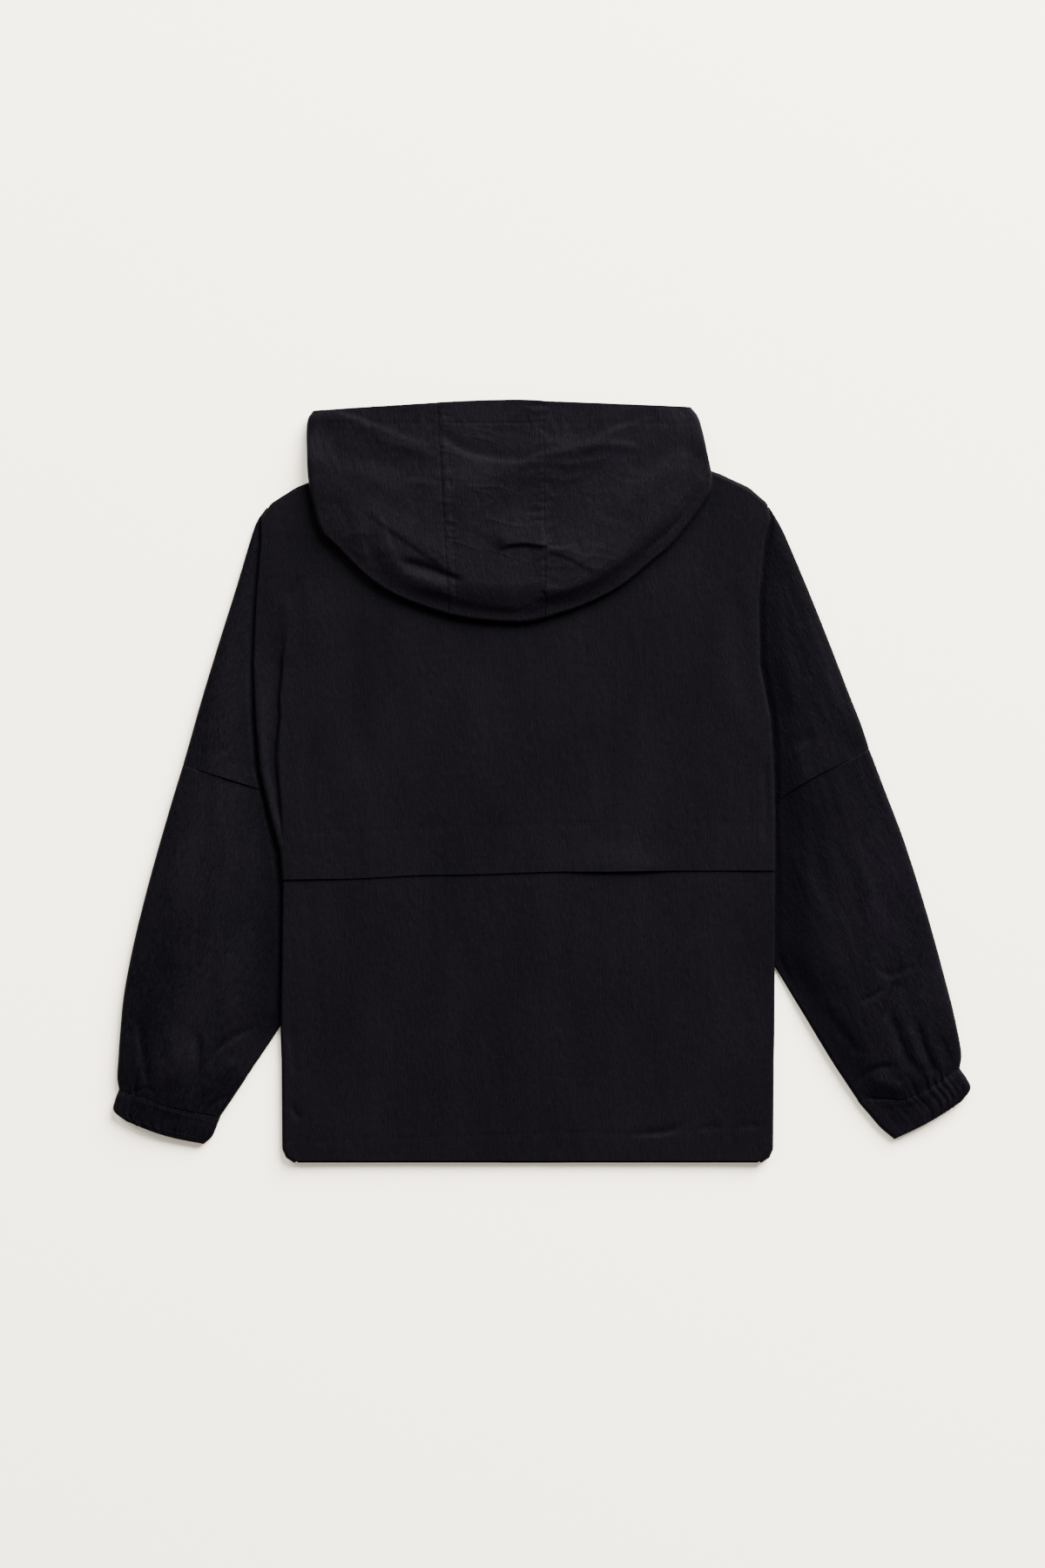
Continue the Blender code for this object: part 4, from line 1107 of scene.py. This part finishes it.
def bump(tree, height, strength, distance):
    raised = {"Strength": strength, "Distance": distance, "Height": height}
    return add_node(tree, "ShaderNodeBump", raised).outputs["Normal"]


def principled(name):
    material = bpy.data.materials.new(name)
    material.use_nodes = True
    return material, material.node_tree, material.node_tree.nodes["Principled BSDF"]


def crinkle_group():
    """Crinkled nylon: slubs and short creases along the grain."""
    group = bpy.data.node_groups.new("Crinkled nylon", "ShaderNodeTree")
    for name, kind, value in (
        ("Grain turn", "NodeSocketFloat", 0),
        ("Cloth and shade color", "NodeSocketColor", CLOTH_COLOR),
        ("Worn and lit color", "NodeSocketColor", CLOTH_WORN),
        ("Shade fades from", "NodeSocketFloat", NO_PAINTED_SHADE[0]),
        ("Unshaded past", "NodeSocketFloat", NO_PAINTED_SHADE[1]),
    ):
        socket = group.interface.new_socket(name=name, in_out="INPUT", socket_type=kind)
        socket.default_value = value
    for name, kind in (("Color", "Color"), ("Roughness", "Float"), ("Height", "Float")):
        group.interface.new_socket(name=name, in_out="OUTPUT", socket_type=f"NodeSocket{kind}")
    entry, exit_node = (group.nodes.new(f"NodeGroup{kind}") for kind in ("Input", "Output"))
    place = group.nodes.new("ShaderNodeTexCoord").outputs["Object"]
    turned = group.nodes.new("ShaderNodeVectorRotate")
    turned.rotation_type = "Z_AXIS"
    wire(group, turned, {"Vector": place, "Angle": entry.outputs["Grain turn"]})

    def noise(scale, detail, rough, distortion=0):
        stretch = {"Scale": scale, "Vector": turned.outputs["Vector"]}
        stretched = add_node(group, "ShaderNodeMapping", stretch).outputs["Vector"]
        look = {"Scale": 1, "Detail": detail, "Roughness": rough, "Distortion": distortion}
        return add_node(group, "ShaderNodeTexNoise", {**look, "Vector": stretched}).outputs["Fac"]

    def mixed(kind, a, b=0):
        worked = group.nodes.new("ShaderNodeMath")
        worked.operation = kind
        return wire(group, worked, {0: a, 1: b}).outputs[0]

    def times(value, weight):
        return mixed("MULTIPLY", value, weight)

    streaks = noise((330, 42, 150), 5, 0.64, 0.5)
    slubs = noise((900, 130, 500), 3, 0.55)
    crush = noise((120, 75, 120), 6, 0.60, 0.8)
    patches = noise((14, 7, 14), 3, 0.5)
    ridged = mixed("ABSOLUTE", mixed("SUBTRACT", streaks, 0.5))
    height = mixed("ADD", times(ridged, STREAK_PART), times(slubs, SLUB_PART))
    height = mixed("ADD", height, times(crush, CRUSH_PART))
    wear = mixed("ADD", times(slubs, SLUB_WEAR), times(patches, PATCH_WEAR))
    worn_range = {"From Min": WEAR_FROM, "From Max": WEAR_TO, "Value": wear}
    worn = add_node(group, "ShaderNodeMapRange", worn_range)
    # The mask below paints shade: near the coat's middle it holds back the lighter color, so the
    # cloth keeps its darker one there.
    apart = add_node(group, "ShaderNodeSeparateXYZ", {"Vector": place})
    outer = group.nodes.new("ShaderNodeMapRange")
    outer.interpolation_type = "SMOOTHSTEP"
    past = {"From Min": entry.outputs["Shade fades from"], "From Max": entry.outputs["Unshaded past"]}
    past["Value"] = mixed("ABSOLUTE", mixed("SUBTRACT", apart.outputs["X"], CENTER_X * MM))
    wire(group, outer, past)
    share = times(worn.outputs["Result"], outer.outputs["Result"])
    color = blend(group, share, entry.outputs["Cloth and shade color"], entry.outputs["Worn and lit color"])
    rough_range = {"To Min": ROUGH_LEAST, "To Max": ROUGH_MOST, "Value": streaks}
    rough = add_node(group, "ShaderNodeMapRange", rough_range)
    wire(group, exit_node, {"Color": color, "Roughness": rough.outputs["Result"], "Height": height})
    return group


def nylon(name, group, turn, color, worn, cloth_of, shade_range):
    material, tree, shader = principled(name)
    crinkle = tree.nodes.new("ShaderNodeGroup")
    crinkle.node_tree = group
    cloth = {"Grain turn": turn, "Cloth and shade color": color, "Worn and lit color": worn}
    wire(tree, crinkle, {**cloth, "Shade fades from": shade_range[0], "Unshaded past": shade_range[1]})
    look = {"Base Color": crinkle.outputs["Color"], "Roughness": crinkle.outputs["Roughness"]}
    strength = CRINKLE_STRENGTH[cloth_of]
    look["Normal"] = bump(tree, crinkle.outputs["Height"], strength, CRINKLE_DEEP)
    wire(tree, shader, {**look, **SHEEN})
    return material


def thread_material():
    """Twisted sewing thread, lighter along its strands."""
    material, tree, shader = principled("Thread")
    place = tree.nodes.new("ShaderNodeTexCoord").outputs["Object"]
    twist = {"Scale": 900, "Distortion": 1.5, "Vector": place}
    strands = add_node(tree, "ShaderNodeTexWave", twist)
    strands.bands_direction = "DIAGONAL"
    height = strands.outputs["Fac"]
    color = blend(tree, height, THREAD_COLOR, THREAD_LIT)
    look = {"Base Color": color, "Normal": bump(tree, height, 0.5, STRAND_DEEP)}
    wire(tree, shader, {**look, "Roughness": 0.55, "Specular IOR Level": 0.03})
    return material


def floor_material():
    material, tree, shader = principled("Floor")
    look = {"Base Color": FLOOR_COLOR, "Roughness": 0.9, "Specular IOR Level": 0.1}
    wire(tree, shader, {**look, "Emission Color": FLOOR_COLOR, "Emission Strength": 0.12})
    return material


# ---- stage
FRAME_WIDE = 1.1316  # what the view takes in across the surface
FRAME_TALL = FRAME_WIDE * 1.5
CAMERA_LENS = 100
CAMERA_SENSOR = 36
CAMERA_AIM = (-0.0212, -0.0024)
FLOOR_WIDE, FLOOR_Z = 9, -0.0004
Light = namedtuple("Light", "name place size power")
LIGHTS = table(Light, ("Key", (4.3, 6.4, 4.4), 7.5, 8700), ("Fill", (-4.2, 4.6, 4.4), 3, 560))


def stage():
    bpy.ops.object.select_all(action="DESELECT")
    bpy.ops.mesh.primitive_plane_add(size=FLOOR_WIDE, location=(0, 0, FLOOR_Z))
    floor = bpy.context.object
    floor.name = "Floor"
    floor.data.materials.append(floor_material())
    camera_data = bpy.data.cameras.new("Camera")
    camera_data.lens = CAMERA_LENS
    camera_data.sensor_width = CAMERA_SENSOR
    camera = add_object("Camera", camera_data)
    camera.location = (*CAMERA_AIM, FRAME_TALL * CAMERA_LENS / CAMERA_SENSOR)
    bpy.context.scene.camera = camera
    for row in LIGHTS:
        light_data = bpy.data.lights.new(row.name, "AREA")
        light_data.shape = "DISK"
        light_data.size = row.size
        light_data.energy = row.power
        light = add_object(row.name, light_data)
        light.location = row.place
        light.rotation_euler = (-Vector(row.place)).to_track_quat("-Z", "Y").to_euler()
    world = bpy.data.worlds.new("Studio")
    bpy.context.scene.world = world
    world.use_nodes = True
    background = world.node_tree.nodes["Background"]
    background.inputs["Color"].default_value = (1, 0.99, 0.975, 1)
    background.inputs["Strength"].default_value = 0.55


panels = {}
stage()
crinkle = crinkle_group()
body_cloth = nylon("Nylon, body", crinkle, 0, CLOTH_COLOR, CLOTH_WORN, "body", NO_PAINTED_SHADE)
hood_cloth = nylon("Nylon, hood", crinkle, 0, HOOD_COLOR, HOOD_WORN, "hood", NO_PAINTED_SHADE)
build_back(body_cloth)
build_fronts(body_cloth)
for side in ("left", "right"):
    # Each sleeve gets its own copies of the nylon, with painted shade next to the body and painted
    # light, lighter on the left.
    look = (crinkle, -SLEEVE_TURN[side], SLEEVE_COLOR_AND_SHADE, SLEEVE_WORN_AND_LIT[side], "sleeve")
    upper_cloth = nylon(f"Nylon, {side} upper sleeve", *look, UPPER_PAINTED_SHADE)
    lower_cloth = nylon(f"Nylon, {side} sleeve", *look, LOWER_PAINTED_SHADE[side])
    build_upper_sleeve(side, upper_cloth)
    build_lower_sleeve(side, lower_cloth)
    build_cuff(side, lower_cloth)
build_hood(hood_cloth)
thread = thread_material()
rows_of = all_stitches()
for name, (panel, slot) in panels.items():
    if name in rows_of:
        stitch_rows(f"Stitches.{name}", panel, rows_of[name], thread)
